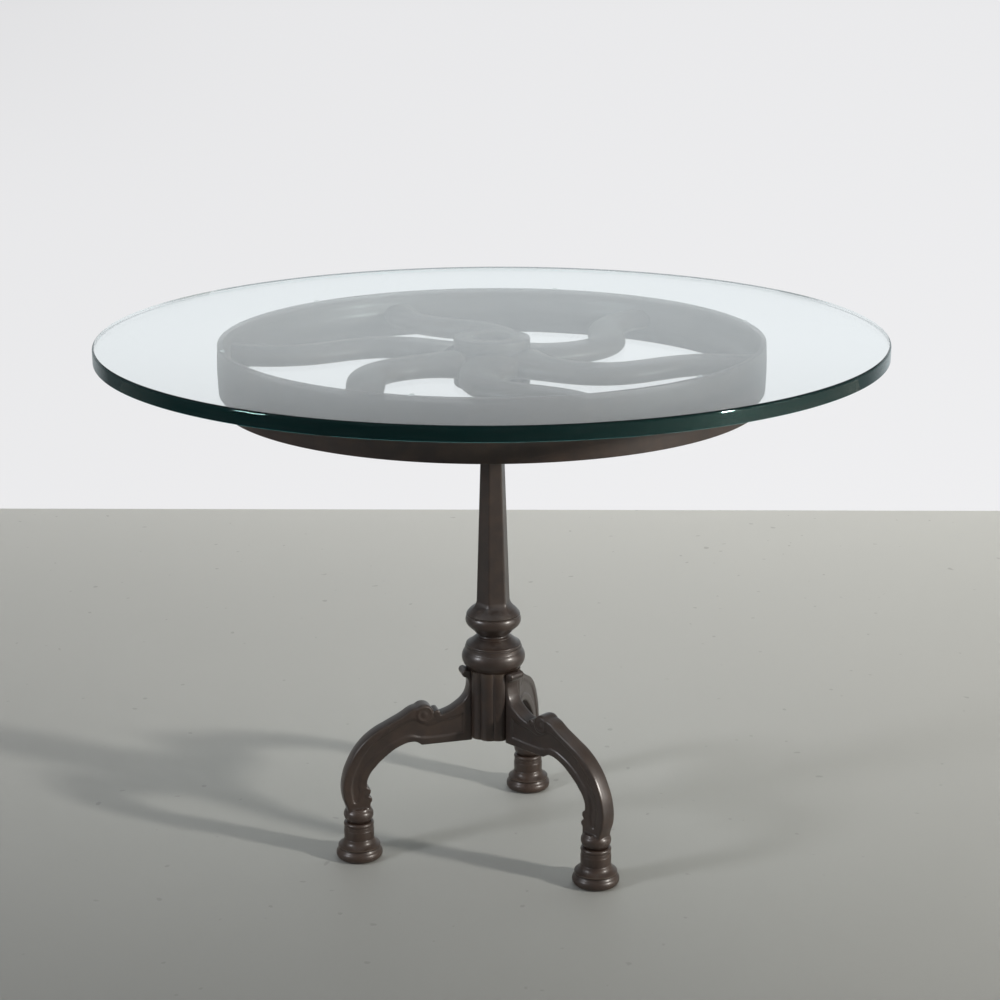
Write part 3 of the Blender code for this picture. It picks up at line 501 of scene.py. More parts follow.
# Hub: the reeded iron boss that the legs hang on, cast with its reeds and bored.
# Housings and dovetail slots for the legs are cut up from below, with a pocket for the plate there
# and a socket for the column's spigot above.
REED_COUNT = 12
REED_DEPTH = 0.0024
REED_FULLNESS = 0.7
REED_STEPS = 20
HUB_RADIUS = 0.039
HUB_RINGS = 11
HOUSING_DEPTH = 0.005
SPIGOT_RADIUS = 0.016
SPIGOT_SIDES = 64
SPIGOT_LOW, SPIGOT_TOP = heights("column")
ROD_HOLE = 0.009
ROD_SIDES = 48


def leg_hub():
    """The reeded boss with its housings, slots, pocket, socket and the hole for the rod."""
    hub = drum(HUB_RADIUS, HUB_BASE, HUB_TOP, REED_COUNT * REED_STEPS)
    upright = [line for line in hub.edges if abs(line.verts[0].co.z - line.verts[1].co.z) > REED_DEPTH]
    bmesh.ops.subdivide_edges(hub, edges=upright, cuts=HUB_RINGS, use_grid_fill=True)
    for vert in hub.verts:
        angle = math.atan2(vert.co.y, vert.co.x)
        reed = abs(math.cos(angle * REED_COUNT / 2)) ** REED_FULLNESS
        vert.co.xy *= 1.0 - REED_DEPTH * (1.0 - reed) / HUB_RADIUS
    near, far = HUB_RADIUS - HOUSING_DEPTH, HUB_RADIUS * 2
    low, high = HUB_BASE - CUT_PAST, HUB_TOP + CUT_PAST
    seat = [(near, low), (far, low), (far, high), (near, high)]
    for turn in LEG_TURNS:
        housing = plate(seat, seat, LEG_THICK + 2 * FIT_GAP)
        hub = combine(hub, moved(housing, about_z(turn)), 'DIFFERENCE')
        slot = dovetail(TONGUE_BACK - FIT_GAP, HUB_RADIUS)
        hub = combine(hub, moved(slot, about_z(turn)), 'DIFFERENCE')
    hub = combine(hub, drum(POCKET_RADIUS, low, POCKET_TOP, POCKET_SIDES), 'DIFFERENCE')
    socket = drum(SPIGOT_RADIUS + FIT_GAP, SPIGOT_LOW - FIT_GAP, high, SPIGOT_SIDES)
    hub = combine(hub, socket, 'DIFFERENCE')
    return combine(hub, drum(ROD_HOLE, HUB_BASE, HUB_TOP, ROD_SIDES), 'DIFFERENCE')


hand_in(leg_hub(), "leg_hub_reeded", "leg_hub", iron)


# Column: one iron casting, a six-sided shaft that tapers up from a ring, with a dome and a bulb
# below it and a trumpet collar under the wheel. The mouldings and spigots are turned, and a clear
# hole runs through it for the tie rod.
COLUMN_BASE = HUB_TOP + FIT_GAP
SHAFT_FOOT = 0.0252
SHAFT_TOP = 0.01525
SHAFT_BASE = 0.3680
COLUMN_SEAT = heights("pulley_wheel")[0] - FIT_GAP
COLLAR_BASE = 0.6256
COLLAR_BLEND = 0.012
COLLAR_LIP = 0.004
RING_MIDDLE = 0.3405
SPIGOT_BURIED = 0.003
SPIGOT_EDGE = 0.0008
RUN_OUT = 1.3
EASED_CORNER = 0.985
SHAFT_RINGS = 40
COLUMN_STEPS = 144


def shaft_reach(height):
    """How far the shaft's corners stand from the axis, straight from foot to top."""
    share = (height - RING_MIDDLE) / (COLLAR_BASE + COLLAR_BLEND - RING_MIDDLE)
    return SHAFT_FOOT + (SHAFT_TOP - SHAFT_FOOT) * share


def six_sided(shape):
    """Planes the shaft to six sides, running out into the round mouldings at both ends."""
    for vert in shape.verts:
        reach = vert.co.xy.length
        corner = shaft_reach(vert.co.z)
        if RING_MIDDLE < vert.co.z < COLUMN_SEAT - COLLAR_LIP and reach < corner * RUN_OUT:
            off_flat = (math.atan2(vert.co.y, vert.co.x) + math.pi / 6) % (math.pi / 3) - math.pi / 6
            flat = min(math.cos(math.pi / 6) / math.cos(off_flat), EASED_CORNER)
            round_share = max(0.0, (reach / corner - 1.0) / (RUN_OUT - 1.0))
            vert.co.xy *= flat + (1.0 - flat) * round_share
    return shape


def column():
    """The column, turned from the collar down to the bulb, with a spigot at each end and the rod's hole."""
    profile = [(0.0, COLUMN_SEAT), (0.0332, COLUMN_SEAT)]
    profile += arc((0.0332, COLUMN_SEAT - 0.0024), (0.0018, 0.0024), 80, -60, 6)
    profile += arc((0.0350, COLLAR_BASE), (-0.0202, 0.0300), 88, 10, 14)
    for step in range(SHAFT_RINGS):
        height = COLLAR_BASE - (COLLAR_BASE - SHAFT_BASE) * step / (SHAFT_RINGS - 1)
        profile.append((shaft_reach(height), height))
    profile += [(0.0247, 0.3660), (0.0252, 0.3642), (0.0261, 0.3622), (0.0276, 0.3600), (0.0296, 0.3578),
                (0.0318, 0.3557), (0.0346, 0.3526), (0.0372, 0.3494), (0.0375, 0.3489)]
    profile += arc((0.0384, 0.3482), (0.0014, 0.0009), 140, 250, 4)
    profile += arc((0.0270, 0.3398), (0.0122, 0.0122), 30, -44, 14)
    profile += [(0.0320, 0.3280), (0.0282, 0.3245)]
    profile += arc((0.0318, 0.3180), (0.0100, 0.0044), 126, 226, 8)
    profile += [(0.0250, 0.3139), (0.0275, 0.3123), (0.0303, 0.3101), (0.0331, 0.3077), (0.0356, 0.3056)]
    profile += arc((0.0375, 0.3034), (0.0013, 0.0014), 78, -30, 5)
    profile += arc((0.0396, 0.3013), (0.0010, 0.0010), 160, 250, 3)
    profile += [(0.0401, 0.2998)]
    profile += arc((0.0300, 0.2848), (0.0148, 0.0162), 44, -56, 18)
    profile += [(0.0376, COLUMN_BASE + 0.0012), (0.0370, COLUMN_BASE), (0.0, COLUMN_BASE)]
    body = six_sided(turned(profile, COLUMN_STEPS))
    for low, high in ((COLUMN_SEAT - SPIGOT_BURIED, SPIGOT_TOP),
                      (SPIGOT_LOW, COLUMN_BASE + SPIGOT_BURIED)):
        body = combine(body, drum(SPIGOT_RADIUS, low, high, SPIGOT_SIDES, SPIGOT_EDGE), 'UNION')
    rod_hole = drum(ROD_HOLE, COLUMN_BASE - CUT_PAST, SPIGOT_TOP + CUT_PAST, ROD_SIDES)
    return combine(body, rod_hole, 'DIFFERENCE')


hand_in(column(), "column_cast", "column", iron)


# Plate and bolts: a round of dull steel plate closes the legs' slots from below, held by three
# small hexagon bolts up into the tongues.
PLATE_BASE, PLATE_TOP = heights("leg_plate")
PLATE_EDGE = 0.0006
PLATE_SIDES = 72
BOLT_ACROSS = 0.008
BOLT_BASE, BOLT_TOP = heights("plate_bolt_1")
BOLT_EDGE = 0.0004
CORNER_EASE = 0.6
BLANK_STEPS = 48
STEEL_DARK = (0.075, 0.070, 0.066, 1.0)
STEEL_PALE = (0.20, 0.19, 0.18, 1.0)
STEEL_RUST = (0.085, 0.045, 0.025, 1.0)


def dull_steel():
    """Blackened steel with machining marks, paler on its edges and a little rust."""
    made, shader, wire = new_finish("dull_steel")
    clouds = wire.noise(scale=90.0, detail=4.0)
    marks = wire.noise(scale=700.0, detail=2.0, stretch=(1.0, 1.0, 0.12))
    edges = wire.node("ShaderNodeNewGeometry", out="Pointiness").between(0.51, 0.58)
    rust = clouds.between(0.60, 0.75)
    colour = (edges * 0.7 + marks * 0.25).blend(STEEL_DARK, STEEL_PALE)
    colour = (rust * 0.6).blend(colour, STEEL_RUST)
    bump = wire.node("ShaderNodeBump", {}, {"Strength": 0.2, "Distance": 0.0002, "Height": marks + clouds})
    wire.fill(shader, {
        "Base Color": colour,
        "Metallic": 0.9 - rust * 0.5,
        "Roughness": 0.36 + marks * 0.12 + rust * 0.25,
        "Normal": bump,
    })
    return made


def hexagon(across, low, high):
    """A hexagon prism with its corners turned off at both ends."""
    corner = across / math.sqrt(3)
    flat = across / 2
    ease = (corner - flat) * CORNER_EASE
    blank = [(0.0, high), (flat, high), (corner, high - ease), (corner, low + ease), (flat, low), (0.0, low)]
    return combine(drum(corner, low, high, 6), turned(blank, BLANK_STEPS), 'INTERSECT')


steel = dull_steel()
plate_low, plate_high = PLATE_BASE - CUT_PAST, PLATE_TOP + CUT_PAST
plate_round = drum(POCKET_RADIUS - 2 * FIT_GAP, PLATE_BASE, PLATE_TOP, PLATE_SIDES, PLATE_EDGE)
plate_round = combine(plate_round, drum(ROD_HOLE, plate_low, plate_high, ROD_SIDES), 'DIFFERENCE')
for number, turn in enumerate(LEG_TURNS, 1):
    spot = about_z(turn) @ Matrix.Translation((BOLT_REACH, 0.0, 0.0))
    hole = moved(drum(BOLT_HOLE_RADIUS, plate_low, plate_high, BOLT_SIDES), spot)
    plate_round = combine(plate_round, hole, 'DIFFERENCE')
    head_top = PLATE_BASE - FIT_GAP
    head = hexagon(BOLT_ACROSS, BOLT_BASE, head_top)
    shank = drum(BOLT_RADIUS, (BOLT_BASE + head_top) / 2, BOLT_TOP, BOLT_SIDES, BOLT_EDGE)
    bolt = combine(head, shank, 'UNION')
    hand_in(moved(bolt, spot), f"plate_bolt_{number}_hexagon", f"plate_bolt_{number}", steel)
hand_in(plate_round, "leg_plate_round", "leg_plate", steel)


# Pulley wheel: a flat-belt pulley laid on its side, cast in one piece. Its crowned rim thickens
# inside towards the middle, six S-shaped arms of oval section run in to the hub, and the hub is
# bored for the column's spigot and counterbored for the nut.
WHEEL_BASE, WHEEL_TOP = heights("pulley_wheel")
WHEEL_MID = (WHEEL_BASE + WHEEL_TOP) / 2
WHEEL_RADIUS = 0.370
RIM_CROWN = ((0.00045, 0.020), (0.0008, 0.010), (0.0010, 0.0), (0.0008, -0.010), (0.00045, -0.020))
RIM_ROUND = 0.0015
RIM_INSIDE = 0.3620
INSIDE_ROUND = 0.0020
INSIDE_SHARE = 0.94
INSIDE_RINGS = 16
RIB_RISE = 0.0060
RIB_HALF = 0.024
RIM_STEPS = 220
BOSS_RADIUS = 0.052
BOSS_ROUND = 0.003
COUNTERBORE_RADIUS = 0.028
COUNTERBORE_FLOOR = heights("top_washer")[0] - FIT_GAP
COUNTERBORE_SIDES = 96
ARM_COUNT = 6
ARM_LINE = ((0.0480, 0.0), (0.2080, -0.0455), (0.2246, 0.0455), (0.1964, 0.1174), (0.3261, 0.1524))
ARM_WIDTH = ((0.0290, 0.0160, 26.0), (0.0228, 0.0030, 12.0))
ARM_DEPTH = ((0.0148, 0.0045, 24.0), (0.0141, 0.0012, 26.0))
ARM_TURN = math.radians(43.1)
ARM_STATIONS = 44
ARM_SIDES = 28
SCREW_HEIGHT = sum(heights("hub_set_screw_1")) / 2
SCREW_TURNS = [math.radians(angle) for angle in (-90, 0)]
SCREW_RADIUS = 0.0040
SCREW_HOLE_REACH = 0.08
SCREW_SIDES = 32


def arm_size(ends, share):
    """Half a width or depth on the way out, from each end's size, its flare and how fast that dies out."""
    (root, root_flare, root_fade), (tip, tip_flare, tip_fade) = ends
    left = 1.0 - share
    flares = root_flare * math.exp(-root_fade * share) + tip_flare * math.exp(-tip_fade * left)
    return root * left + tip * share + flares


def wheel_arm():
    """One arm: ovals along an S-shaped line, swelling into the hub and the rim."""
    shape = bmesh.new()
    ovals = []
    for station in range(ARM_STATIONS):
        share = station / (ARM_STATIONS - 1)
        line = [Vector((*point, 0.0)) for point in ARM_LINE]
        while len(line) > 2:
            line = [first.lerp(second, share) for first, second in zip(line, line[1:])]
        centre = line[0].lerp(line[1], share)
        ahead = (line[1] - line[0]).normalized()
        half_width = arm_size(ARM_WIDTH, share)
        half_depth = arm_size(ARM_DEPTH, share)
        oval = Matrix.Identity(4)
        oval.col[0] = (-ahead.y * half_width, ahead.x * half_width, 0.0, 0.0)
        oval.col[1] = (0.0, 0.0, half_depth, 0.0)
        oval.col[2] = (*ahead, 0.0)
        oval.col[3] = (*centre, 1.0)
        made = bmesh.ops.create_circle(shape, cap_ends=station in (0, ARM_STATIONS - 1), segments=ARM_SIDES,
                                       radius=1.0, matrix=oval)
        ovals.append(list({edge for vert in made["verts"] for edge in vert.link_edges}))
    for first, second in zip(ovals, ovals[1:]):
        bmesh.ops.bridge_loops(shape, edges=first + second)
    bmesh.ops.recalc_face_normals(shape, faces=shape.faces)
    return moved(shape, Matrix.Translation((0.0, 0.0, WHEEL_MID)), about_z(ARM_TURN))


def screw_place(turn):
    """Where a set screw lies: its length runs out from the axis, low on the wheel's hub."""
    lie_down = Matrix.Rotation(math.radians(90), 4, 'Y')
    return Matrix.Translation((0.0, 0.0, SCREW_HEIGHT)) @ about_z(turn) @ lie_down


def pulley_wheel():
    """The wheel: its rim turned, the arms and the hub joined to it, and the hub bored."""
    half = (WHEEL_TOP - WHEEL_BASE) / 2
    outer, outer_round = WHEEL_RADIUS - RIM_ROUND, (RIM_ROUND, RIM_ROUND)
    inner, inner_round = RIM_INSIDE + INSIDE_ROUND, (INSIDE_ROUND, INSIDE_ROUND)
    rim = arc((outer, WHEEL_TOP - RIM_ROUND), outer_round, 90, 10, 4)
    rim += [(WHEEL_RADIUS + crown, WHEEL_MID + rise) for crown, rise in RIM_CROWN]
    rim += arc((outer, WHEEL_BASE + RIM_ROUND), outer_round, -10, -90, 4)
    rim += arc((inner, WHEEL_BASE + INSIDE_ROUND), inner_round, 270, 184, 4)
    for step in range(1, INSIDE_RINGS):
        rise = half * (2 * step / INSIDE_RINGS - 1.0)
        rib = 0.5 + 0.5 * math.cos(math.pi * min(1.0, abs(rise) / RIB_HALF))
        rim.append((RIM_INSIDE - RIB_RISE * rib, WHEEL_MID + rise * INSIDE_SHARE))
    rim += arc((inner, WHEEL_TOP - INSIDE_ROUND), inner_round, 176, 90, 4)
    wheel = turned(rim, RIM_STEPS)
    arm = wheel_arm()
    for number in range(ARM_COUNT):
        turn = about_z(math.tau * number / ARM_COUNT)
        wheel = combine(wheel, moved(arm.copy(), turn), 'UNION')
    arm.free()
    corner, corner_round = BOSS_RADIUS - BOSS_ROUND, (BOSS_ROUND, BOSS_ROUND)
    boss = [(0.0, WHEEL_TOP)] + arc((corner, WHEEL_TOP - BOSS_ROUND), corner_round, 90, 0, 5)
    boss += arc((corner, WHEEL_BASE + BOSS_ROUND), corner_round, 0, -90, 5) + [(0.0, WHEEL_BASE)]
    wheel = combine(wheel, turned(boss, COLUMN_STEPS), 'UNION')
    bore = drum(SPIGOT_RADIUS + FIT_GAP, WHEEL_BASE - CUT_PAST, WHEEL_TOP, SPIGOT_SIDES)
    counterbore = drum(COUNTERBORE_RADIUS, COUNTERBORE_FLOOR, WHEEL_TOP + CUT_PAST, COUNTERBORE_SIDES)
    wheel = combine(combine(wheel, bore, 'DIFFERENCE'), counterbore, 'DIFFERENCE')
    for turn in SCREW_TURNS:
        hole = drum(SCREW_RADIUS + FIT_GAP, 0.0, SCREW_HOLE_REACH, SCREW_SIDES)
        wheel = combine(wheel, moved(hole, screw_place(turn)), 'DIFFERENCE')
    return wheel


hand_in(pulley_wheel(), "pulley_wheel_cast", "pulley_wheel", cast_iron("dull_cast_iron", 0.6))


# Set screws: two headless screws of dull steel, turned and slotted at one end. They are sunk in the
# wheel's hub and grip the column's spigot.
SCREW_END = 0.050
SCREW_EDGE = 0.0006
SLOT_DEPTH = 0.0015
SLOT_SIZE = (0.0009, 0.01)

for number, turn in enumerate(SCREW_TURNS, 1):
    screw = drum(SCREW_RADIUS, SPIGOT_RADIUS + FIT_GAP, SCREW_END, SCREW_SIDES, SCREW_EDGE)
    bar = drum(1.0, SCREW_END - SLOT_DEPTH, SCREW_END + CUT_PAST, 4)
    slot = moved(bar, Matrix.Diagonal((*SLOT_SIZE, 1.0, 1.0)), about_z(math.radians(45)))
    screw = combine(screw, slot, 'DIFFERENCE')
    hand_in(moved(screw, screw_place(turn)), f"set_screw_{number}_slotted", f"hub_set_screw_{number}",
            steel)


# Tie rod, nuts and washers: a steel rod threaded at both ends runs through hub, column and wheel.
# A nut and washer in the wheel's counterbore and another pair under the plate pull the stack together.
ROD_LOW, ROD_HIGH = heights("tie_rod")
ROD_RADIUS = 0.008
ROD_END_RADIUS = 0.0066
ROD_CHAMFER = 0.0012
NUT_ACROSS = 0.024
WASHER_EDGE = 0.0006
WASHER_SIDES = 72
THREAD_PITCH = 0.002
THREAD_DEPTH = 0.0010
THREAD_LENGTH = 0.030


def threaded(start, end):
    """Profile points of a thread that runs between two heights, as rings."""
    points = []
    count = round(abs(end - start) / THREAD_PITCH)
    for turn in range(count):
        height = start + (end - start) * turn / count
        half = (end - start) / count / 2
        points += [(ROD_RADIUS, height), (ROD_RADIUS - THREAD_DEPTH, height + half)]
    return points


rod_profile = [(0.0, ROD_HIGH), (ROD_END_RADIUS, ROD_HIGH)]
rod_profile += threaded(ROD_HIGH - ROD_CHAMFER, ROD_HIGH - THREAD_LENGTH)
rod_profile += threaded(ROD_LOW + THREAD_LENGTH, ROD_LOW + ROD_CHAMFER)
rod_profile += [(ROD_END_RADIUS, ROD_LOW), (0.0, ROD_LOW)]
hand_in(turned(rod_profile, ROD_SIDES), "tie_rod_threaded", "tie_rod", steel)
for end in ("top", "bottom"):
    washer_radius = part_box(f"{end}_washer")[1].x
    washer = drum(washer_radius, *heights(f"{end}_washer"), WASHER_SIDES, WASHER_EDGE)
    washer = combine(washer, drum(ROD_RADIUS + FIT_GAP, ROD_LOW, ROD_HIGH, ROD_SIDES), 'DIFFERENCE')
    hand_in(washer, f"{end}_washer_flat", f"{end}_washer", steel)
    nut = hexagon(NUT_ACROSS, *heights(f"{end}_nut"))
    nut = combine(nut, drum(ROD_RADIUS + FIT_GAP, ROD_LOW, ROD_HIGH, ROD_SIDES), 'DIFFERENCE')
    hand_in(nut, f"{end}_nut_hexagon", f"{end}_nut", steel)


# Bumpers: six small domes of clear soft plastic stuck on top of the rim, so that the glass doesn't
# lie on bare iron.
PAD_REACH = 0.366
PAD_BASE, PAD_TOP = heights("glass_pad_1")
PAD_THICK = PAD_TOP - PAD_BASE
PAD_RADIUS = 0.0035
PAD_FLAT = 0.0012
PAD_SIDE = 0.0006
PAD_COUNT = 6
PAD_STEPS = 32
PLASTIC_CLOUDY = (0.86, 0.88, 0.87, 1.0)
PLASTIC_CLEAR = (0.93, 0.94, 0.93, 1.0)


def clear_plastic():
    """Clear soft plastic, a little cloudy."""
    made, shader, wire = new_finish("clear_soft_plastic")
    haze = wire.noise(scale=900.0, detail=2.0)
    wire.fill(shader, {
        "Base Color": haze.blend(PLASTIC_CLOUDY, PLASTIC_CLEAR),
        "Roughness": 0.10 + haze * 0.12,
        "IOR": 1.46,
        "Transmission Weight": 0.85,
    })
    return made


plastic = clear_plastic()
pad_profile = [(0.0, PAD_THICK), (PAD_FLAT, PAD_THICK)]
pad_profile += arc((PAD_FLAT, PAD_SIDE), (PAD_RADIUS - PAD_FLAT, PAD_THICK - PAD_SIDE), 80, 0, 6)
pad_profile += [(PAD_RADIUS, 0.0), (0.0, 0.0)]
for number in range(PAD_COUNT):
    turn = math.tau * number / PAD_COUNT - math.radians(90)
    spot = about_z(turn) @ Matrix.Translation((PAD_REACH, 0.0, PAD_BASE))
    pad = moved(turned(pad_profile, PAD_STEPS), spot)
    hand_in(pad, f"glass_pad_{number + 1}_dome", f"glass_pad_{number + 1}", plastic)


# Glass top: a round of thick plate glass, ground and polished on its edge with the arrises eased,
# laid loose on the bumpers. Iron in the glass tints it green along its edge.
GLASS_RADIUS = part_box("glass_top")[1].x
GLASS_BASE, GLASS_TOP = heights("glass_top")
TOP_ARRIS = 0.0030
LOW_ARRIS = 0.0002
GLASS_STEPS = 576
GLASS_SMOOTH_UP_TO = math.radians(10)
EDGE_UPRIGHT = 0.8
GLASS_TINT = (0.935, 0.975, 0.980, 1.0)
GLASS_SHADE = (0.84, 0.91, 0.90, 1.0)
EDGE_DEEP = (0.12, 0.64, 0.64, 1.0)
EDGE_PALE = (0.30, 0.78, 0.79, 1.0)
EDGE_SHEEN = (0.40, 0.62, 0.60, 1.0)


def plate_glass():
    """Polished plate glass with a trace of wiping marks; light from the lamps passes through it."""
    made, shader, wire = new_finish("plate_glass")
    wiped = wire.noise(scale=5.0, detail=6.0, stretch=(1.0, 0.35, 1.0))
    wire.fill(shader, {
        "Base Color": GLASS_TINT,
        "Roughness": wiped.between(0.45, 0.75) * 0.012,
        "IOR": 1.52,
        "Transmission Weight": 1.0,
    })
    lamp_ray = wire.node("ShaderNodeLightPath", out="Is Shadow Ray")
    clear = wire.node("ShaderNodeBsdfTransparent", {}, {"Color": GLASS_SHADE})
    surface = Wire(wire.tree, shader.outputs[0])
    through = wire.node("ShaderNodeMixShader", {}, {0: lamp_ray, 1: surface, 2: clear})
    wire.fill(wire.tree.nodes["Material Output"], {"Surface": through})
    return made


def glass_edge():
    """The polished edge, where the light from inside the glass has gone dark green."""
    made, shader, wire = new_finish("plate_glass_edge")
    streaks = wire.noise(scale=16.0, detail=4.0, stretch=(1.0, 1.0, 14.0))
    wire.fill(shader, {
        "Base Color": streaks.between(0.35, 0.70).blend(EDGE_DEEP, EDGE_PALE),
        "Roughness": 0.02 + streaks * 0.04,
        "IOR": 1.52,
        "Transmission Weight": 0.976,
        "Specular Tint": EDGE_SHEEN,
    })
    return made


glass_profile = [(0.0, GLASS_TOP)]
glass_profile += arc((GLASS_RADIUS - TOP_ARRIS, GLASS_TOP - TOP_ARRIS), (TOP_ARRIS, TOP_ARRIS), 90, 0, 8)
glass_profile += arc((GLASS_RADIUS - LOW_ARRIS, GLASS_BASE + LOW_ARRIS), (LOW_ARRIS, LOW_ARRIS), 0, -90, 3)
glass_profile += [(0.0, GLASS_BASE)]
glass = turned(glass_profile, GLASS_STEPS)
for face in glass.faces:
    face.material_index = 1 if abs(face.normal.z) < EDGE_UPRIGHT else 0
hand_in(glass, "glass_top_polished", "glass_top", (plate_glass(), glass_edge()), body="glass",
        smooth=GLASS_SMOOTH_UP_TO)


# Room: a painted concrete floor with a few scuffs, and a plain white wall behind the table.
# The wall shows only from its front, so that the table can be seen from behind as well.
PHOTO_TURN = math.radians(-45)
FLOOR_HALF = 40.0
WALL_HALF = 9.0
WALL_BACK = 1.73
WALL_TURN = math.radians(-1.3)
FLOOR_NEAR_PAINTED_SHADE = (0.225, 0.227, 0.215, 1.0)
FLOOR_FAR_PAINTED_LIGHT = (0.720, 0.726, 0.692, 1.0)
FLOOR_SPECK = (0.14, 0.14, 0.13, 1.0)
FLOOR_PAINTED_LIGHT = 0.207
FLOOR_PAINTED_LIGHT_BACK = 0.306
FLOOR_PAINTED_LIGHT_FAR = 0.053
FLOOR_PAINTED_LIGHT_RIGHT = 0.081
FLOOR_CLOUDS = 0.06
WALL_WHITE = (0.985, 0.985, 1.0, 1.0)
WALL_COOL = (0.885, 0.965, 1.0, 1.0)
WALL_PAINT = (0.82, 0.82, 0.82, 1.0)
WALL_LEVEL = 0.845
WALL_DARKEST = 0.15


def room_side(name, half_size, place, made):
    """One flat side of the room."""
    shape = bmesh.new()
    bmesh.ops.create_grid(shape, x_segments=1, y_segments=1, size=half_size)
    mesh = bpy.data.meshes.new(name)
    moved(shape, place).to_mesh(mesh)
    shape.free()
    mesh.materials.append(made)
    side = bpy.data.objects.new(name, mesh)
    bpy.context.scene.collection.objects.link(side)


def painted_floor():
    """Grey paint, clouded and thinly specked, with painted light making it paler towards the wall and to the
    right.
    """
    made, shader, wire = new_finish("painted_floor")
    clouds = wire.noise(scale=1.6, detail=6.0)
    specks = wire.noise(scale=38.0, detail=1.0).between(0.735, 0.78)
    place = wire.node("ShaderNodeTexCoord", out="Object")
    right = wire.node("ShaderNodeSeparateXYZ", {}, {0: place}, out="X")
    back = wire.node("ShaderNodeSeparateXYZ", {}, {0: place}, out="Y")
    depth = (right + back) * math.sqrt(0.5)
    across = (right - back) * math.sqrt(0.5)
    # Painted light: the floor's colour grows paler towards the wall and to the right; only the clouds are
    # the paint's own mottling.
    share = FLOOR_PAINTED_LIGHT + depth * FLOOR_PAINTED_LIGHT_BACK + depth * depth * FLOOR_PAINTED_LIGHT_FAR
    share = share + across * (1.0 - depth) * FLOOR_PAINTED_LIGHT_RIGHT + clouds * FLOOR_CLOUDS
    colour = share.blend(FLOOR_NEAR_PAINTED_SHADE, FLOOR_FAR_PAINTED_LIGHT)
    wire.fill(shader, {
        "Base Color": (specks * 0.3).blend(colour, FLOOR_SPECK),
        "Roughness": 0.46 + clouds * 0.15,
        "Specular IOR Level": 0.35,
    })
    return made


def seen_share(wire):
    """1 for rays from the camera and for those seen in metal or through glass, else 0."""
    rays = [wire.node("ShaderNodeLightPath", out=ray)
            for ray in ("Is Camera Ray", "Is Glossy Ray", "Is Transmission Ray")]
    return (rays[0] + rays[1] + rays[2]).between(0.0, 0.5)


def white_wall():
    """White paint seen as a glow, with painted shade upwards and to both sides; paler through the glass,
    dimmer mirrored in it.
    """
    made, shader, wire = new_finish("white_wall")
    shader.inputs["Base Color"].default_value = WALL_PAINT
    place = wire.node("ShaderNodeTexCoord", out="Object")
    height = wire.node("ShaderNodeSeparateXYZ", {}, {0: place}, out="Z")
    right = wire.node("ShaderNodeSeparateXYZ", {}, {0: place}, out="X") - WALL_BACK * math.sqrt(0.5)
    through = wire.node("ShaderNodeLightPath", out="Is Transmission Ray")
    mirrored = wire.node("ShaderNodeLightPath", out="Is Glossy Ray") * (1.0 - through)
    # Painted shade on the wall's glow: darker high up, in the upper left and at the far ends, with a little
    # painted light to the right.
    painted_shade_high = height * 0.035 + height.between(1.08, 1.50) * 0.50
    painted_shade_upper_left = height.between(0.6, 1.25) * right.between(-0.2, -1.0) * 0.06
    painted_shade_far_ends = (right.between(0.95, 1.9) + right.between(-0.95, -1.9)) * 0.40
    level = WALL_LEVEL + right.between(-1.0, 0.6) * 0.03 - painted_shade_high - painted_shade_upper_left - painted_shade_far_ends
    # Painted light: the glow is paler where it is seen through the glass and dimmer where glass and metal
    # mirror it.
    level = level + through * (0.10 + height.between(0.75, 0.40) * 0.06)
    mirrored_painted_shade_low = height.between(1.0, 0.7) * (0.15 + right.between(0.2, -0.6) * 0.25)
    mirrored_painted_shade_high = height.between(0.80, 1.05) * 0.12
    level = level - mirrored * (mirrored_painted_shade_low + mirrored_painted_shade_high)
    level = wire.maths('MAXIMUM', level, WALL_DARKEST)
    colour = mirrored.blend(WALL_WHITE, WALL_COOL)
    glow = wire.node("ShaderNodeEmission", {}, {"Color": colour, "Strength": level})
    paint = Wire(wire.tree, shader.outputs[0])
    front = wire.node("ShaderNodeMixShader", {}, {0: seen_share(wire), 1: paint, 2: glow})
    behind = wire.node("ShaderNodeNewGeometry", out="Backfacing")
    clear = wire.node("ShaderNodeBsdfTransparent")
    both_sides = wire.node("ShaderNodeMixShader", {}, {0: behind, 1: front, 2: clear})
    wire.fill(wire.tree.nodes["Material Output"], {"Surface": both_sides})
    return made


room_side("floor", FLOOR_HALF, Matrix.Identity(4), painted_floor())
stand_up = Matrix.Rotation(math.radians(90), 4, 'X')
wall_place = about_z(PHOTO_TURN) @ Matrix.Translation((0.0, WALL_BACK, WALL_HALF)) @ about_z(WALL_TURN)
room_side("wall", WALL_HALF, wall_place @ stand_up, white_wall())


# Light: a small softbox far off to the right in front, a window's weak low light from the right, a softbox
# on the left to fill the shadows, a large soft light over the back of the room, and a little light from
# all round.
AIR = (0.97, 0.98, 1.0, 1.0)
AIR_LIGHT = 0.12
AIR_SEEN = 0.73
AIR_MIRRORED = 0.12


def softbox(name, spot, aim, size, watts, colour):
    """A lamp that the camera doesn't see; X is to the photograph's right and Y away from the camera."""
    lamp = bpy.data.lights.new(name, 'AREA')
    lamp.shape = 'RECTANGLE'
    lamp.size, lamp.size_y = size
    lamp.energy = watts
    lamp.color = colour
    made = bpy.data.objects.new(name, lamp)
    bpy.context.scene.collection.objects.link(made)
    spot = about_z(PHOTO_TURN) @ Vector(spot)
    made.location = spot
    made.rotation_euler = (about_z(PHOTO_TURN) @ Vector(aim) - spot).to_track_quat('-Z', 'Y').to_euler()
    made.visible_camera = False


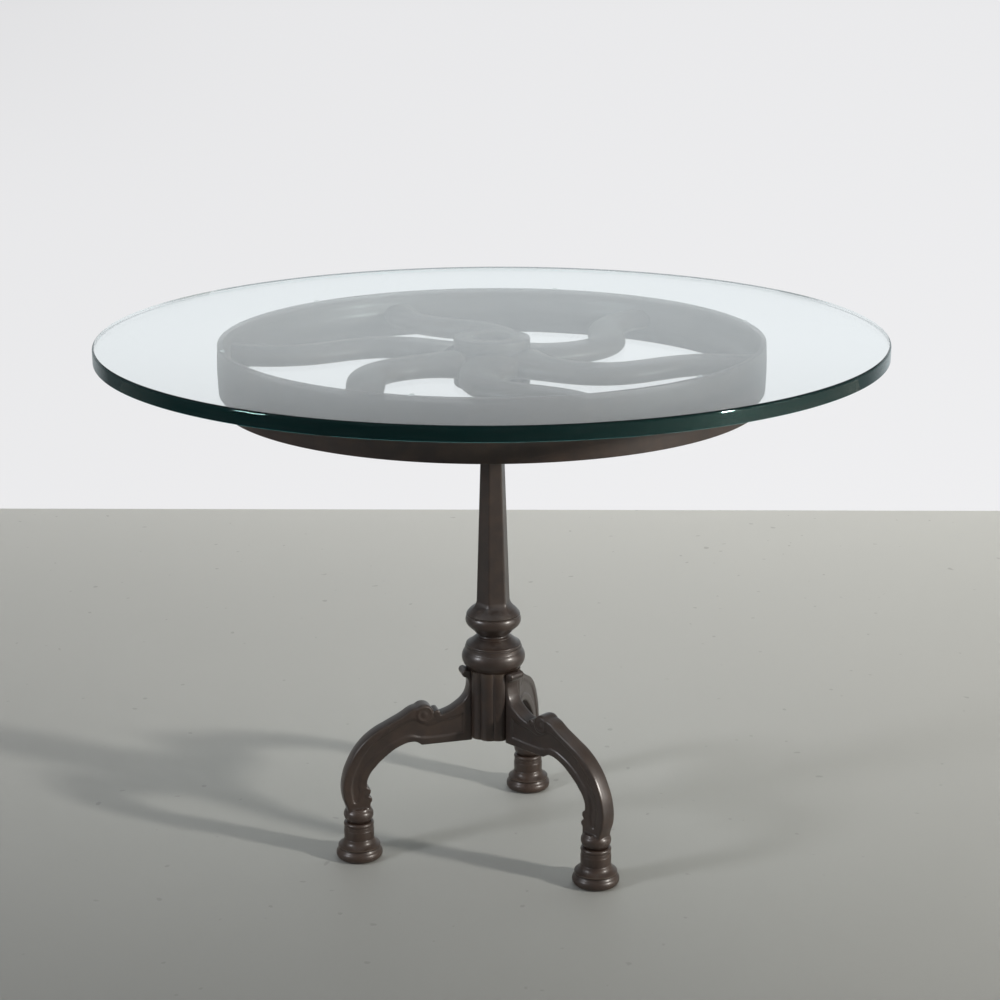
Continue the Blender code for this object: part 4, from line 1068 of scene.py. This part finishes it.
softbox("key", spot=(4.50, -2.20, 1.95), aim=(0.0, 0.1, 0.25), size=(0.30, 0.30), watts=250.0,
        colour=(1.0, 0.96, 0.90))
softbox("window", spot=(3.10, -0.60, 0.50), aim=(0.0, 0.0, 0.30), size=(1.20, 0.42), watts=5.0,
        colour=(1.0, 0.97, 0.92))
softbox("fill", spot=(-2.20, -1.15, 1.40), aim=(0.0, 0.1, 0.25), size=(0.45, 0.45), watts=30.0,
        colour=(0.95, 0.96, 1.0))
softbox("over", spot=(0.5, 1.1, 2.7), aim=(0.5, 1.2, 0.0), size=(1.6, 1.6), watts=11.0,
        colour=(1.0, 1.0, 1.0))
bpy.data.objects["over"].visible_glossy = False
for name in ("key", "window", "fill"):
    bpy.data.objects[name].visible_transmission = False

world = bpy.data.worlds.new("room_light")
bpy.context.scene.world = world
world.use_nodes = True
air = Wire(world.node_tree)
sky = world.node_tree.nodes["Background"]
direct = air.node("ShaderNodeLightPath", out="Is Camera Ray")
through = air.node("ShaderNodeLightPath", out="Is Transmission Ray")
mirrored = air.node("ShaderNodeLightPath", out="Is Glossy Ray")
seen = (direct + through).between(0.0, 0.5)
air.fill(sky, {"Color": AIR, "Strength": AIR_LIGHT + seen * AIR_SEEN + mirrored * AIR_MIRRORED})


# Camera: the photograph's place and angle, looking a little down at the table.
CAMERA_SPOT = (-1.9931, -2.0075, 1.3144)
CAMERA_PITCH = math.radians(15.822)
CAMERA_ROLL = math.radians(-0.229)
CAMERA_LENS = 76.37
CAMERA_SENSOR = 36.0

camera = bpy.data.cameras.new("camera")
camera.sensor_width = CAMERA_SENSOR
camera.lens = CAMERA_LENS
viewer = bpy.data.objects.new("camera", camera)
bpy.context.scene.collection.objects.link(viewer)
level_out = Matrix.Rotation(math.radians(90) - CAMERA_PITCH, 4, 'X')
viewer.matrix_world = (Matrix.Translation(CAMERA_SPOT) @ about_z(PHOTO_TURN) @ level_out
                       @ about_z(CAMERA_ROLL))
bpy.context.scene.camera = viewer
bpy.context.scene.view_settings.view_transform = 'Standard'
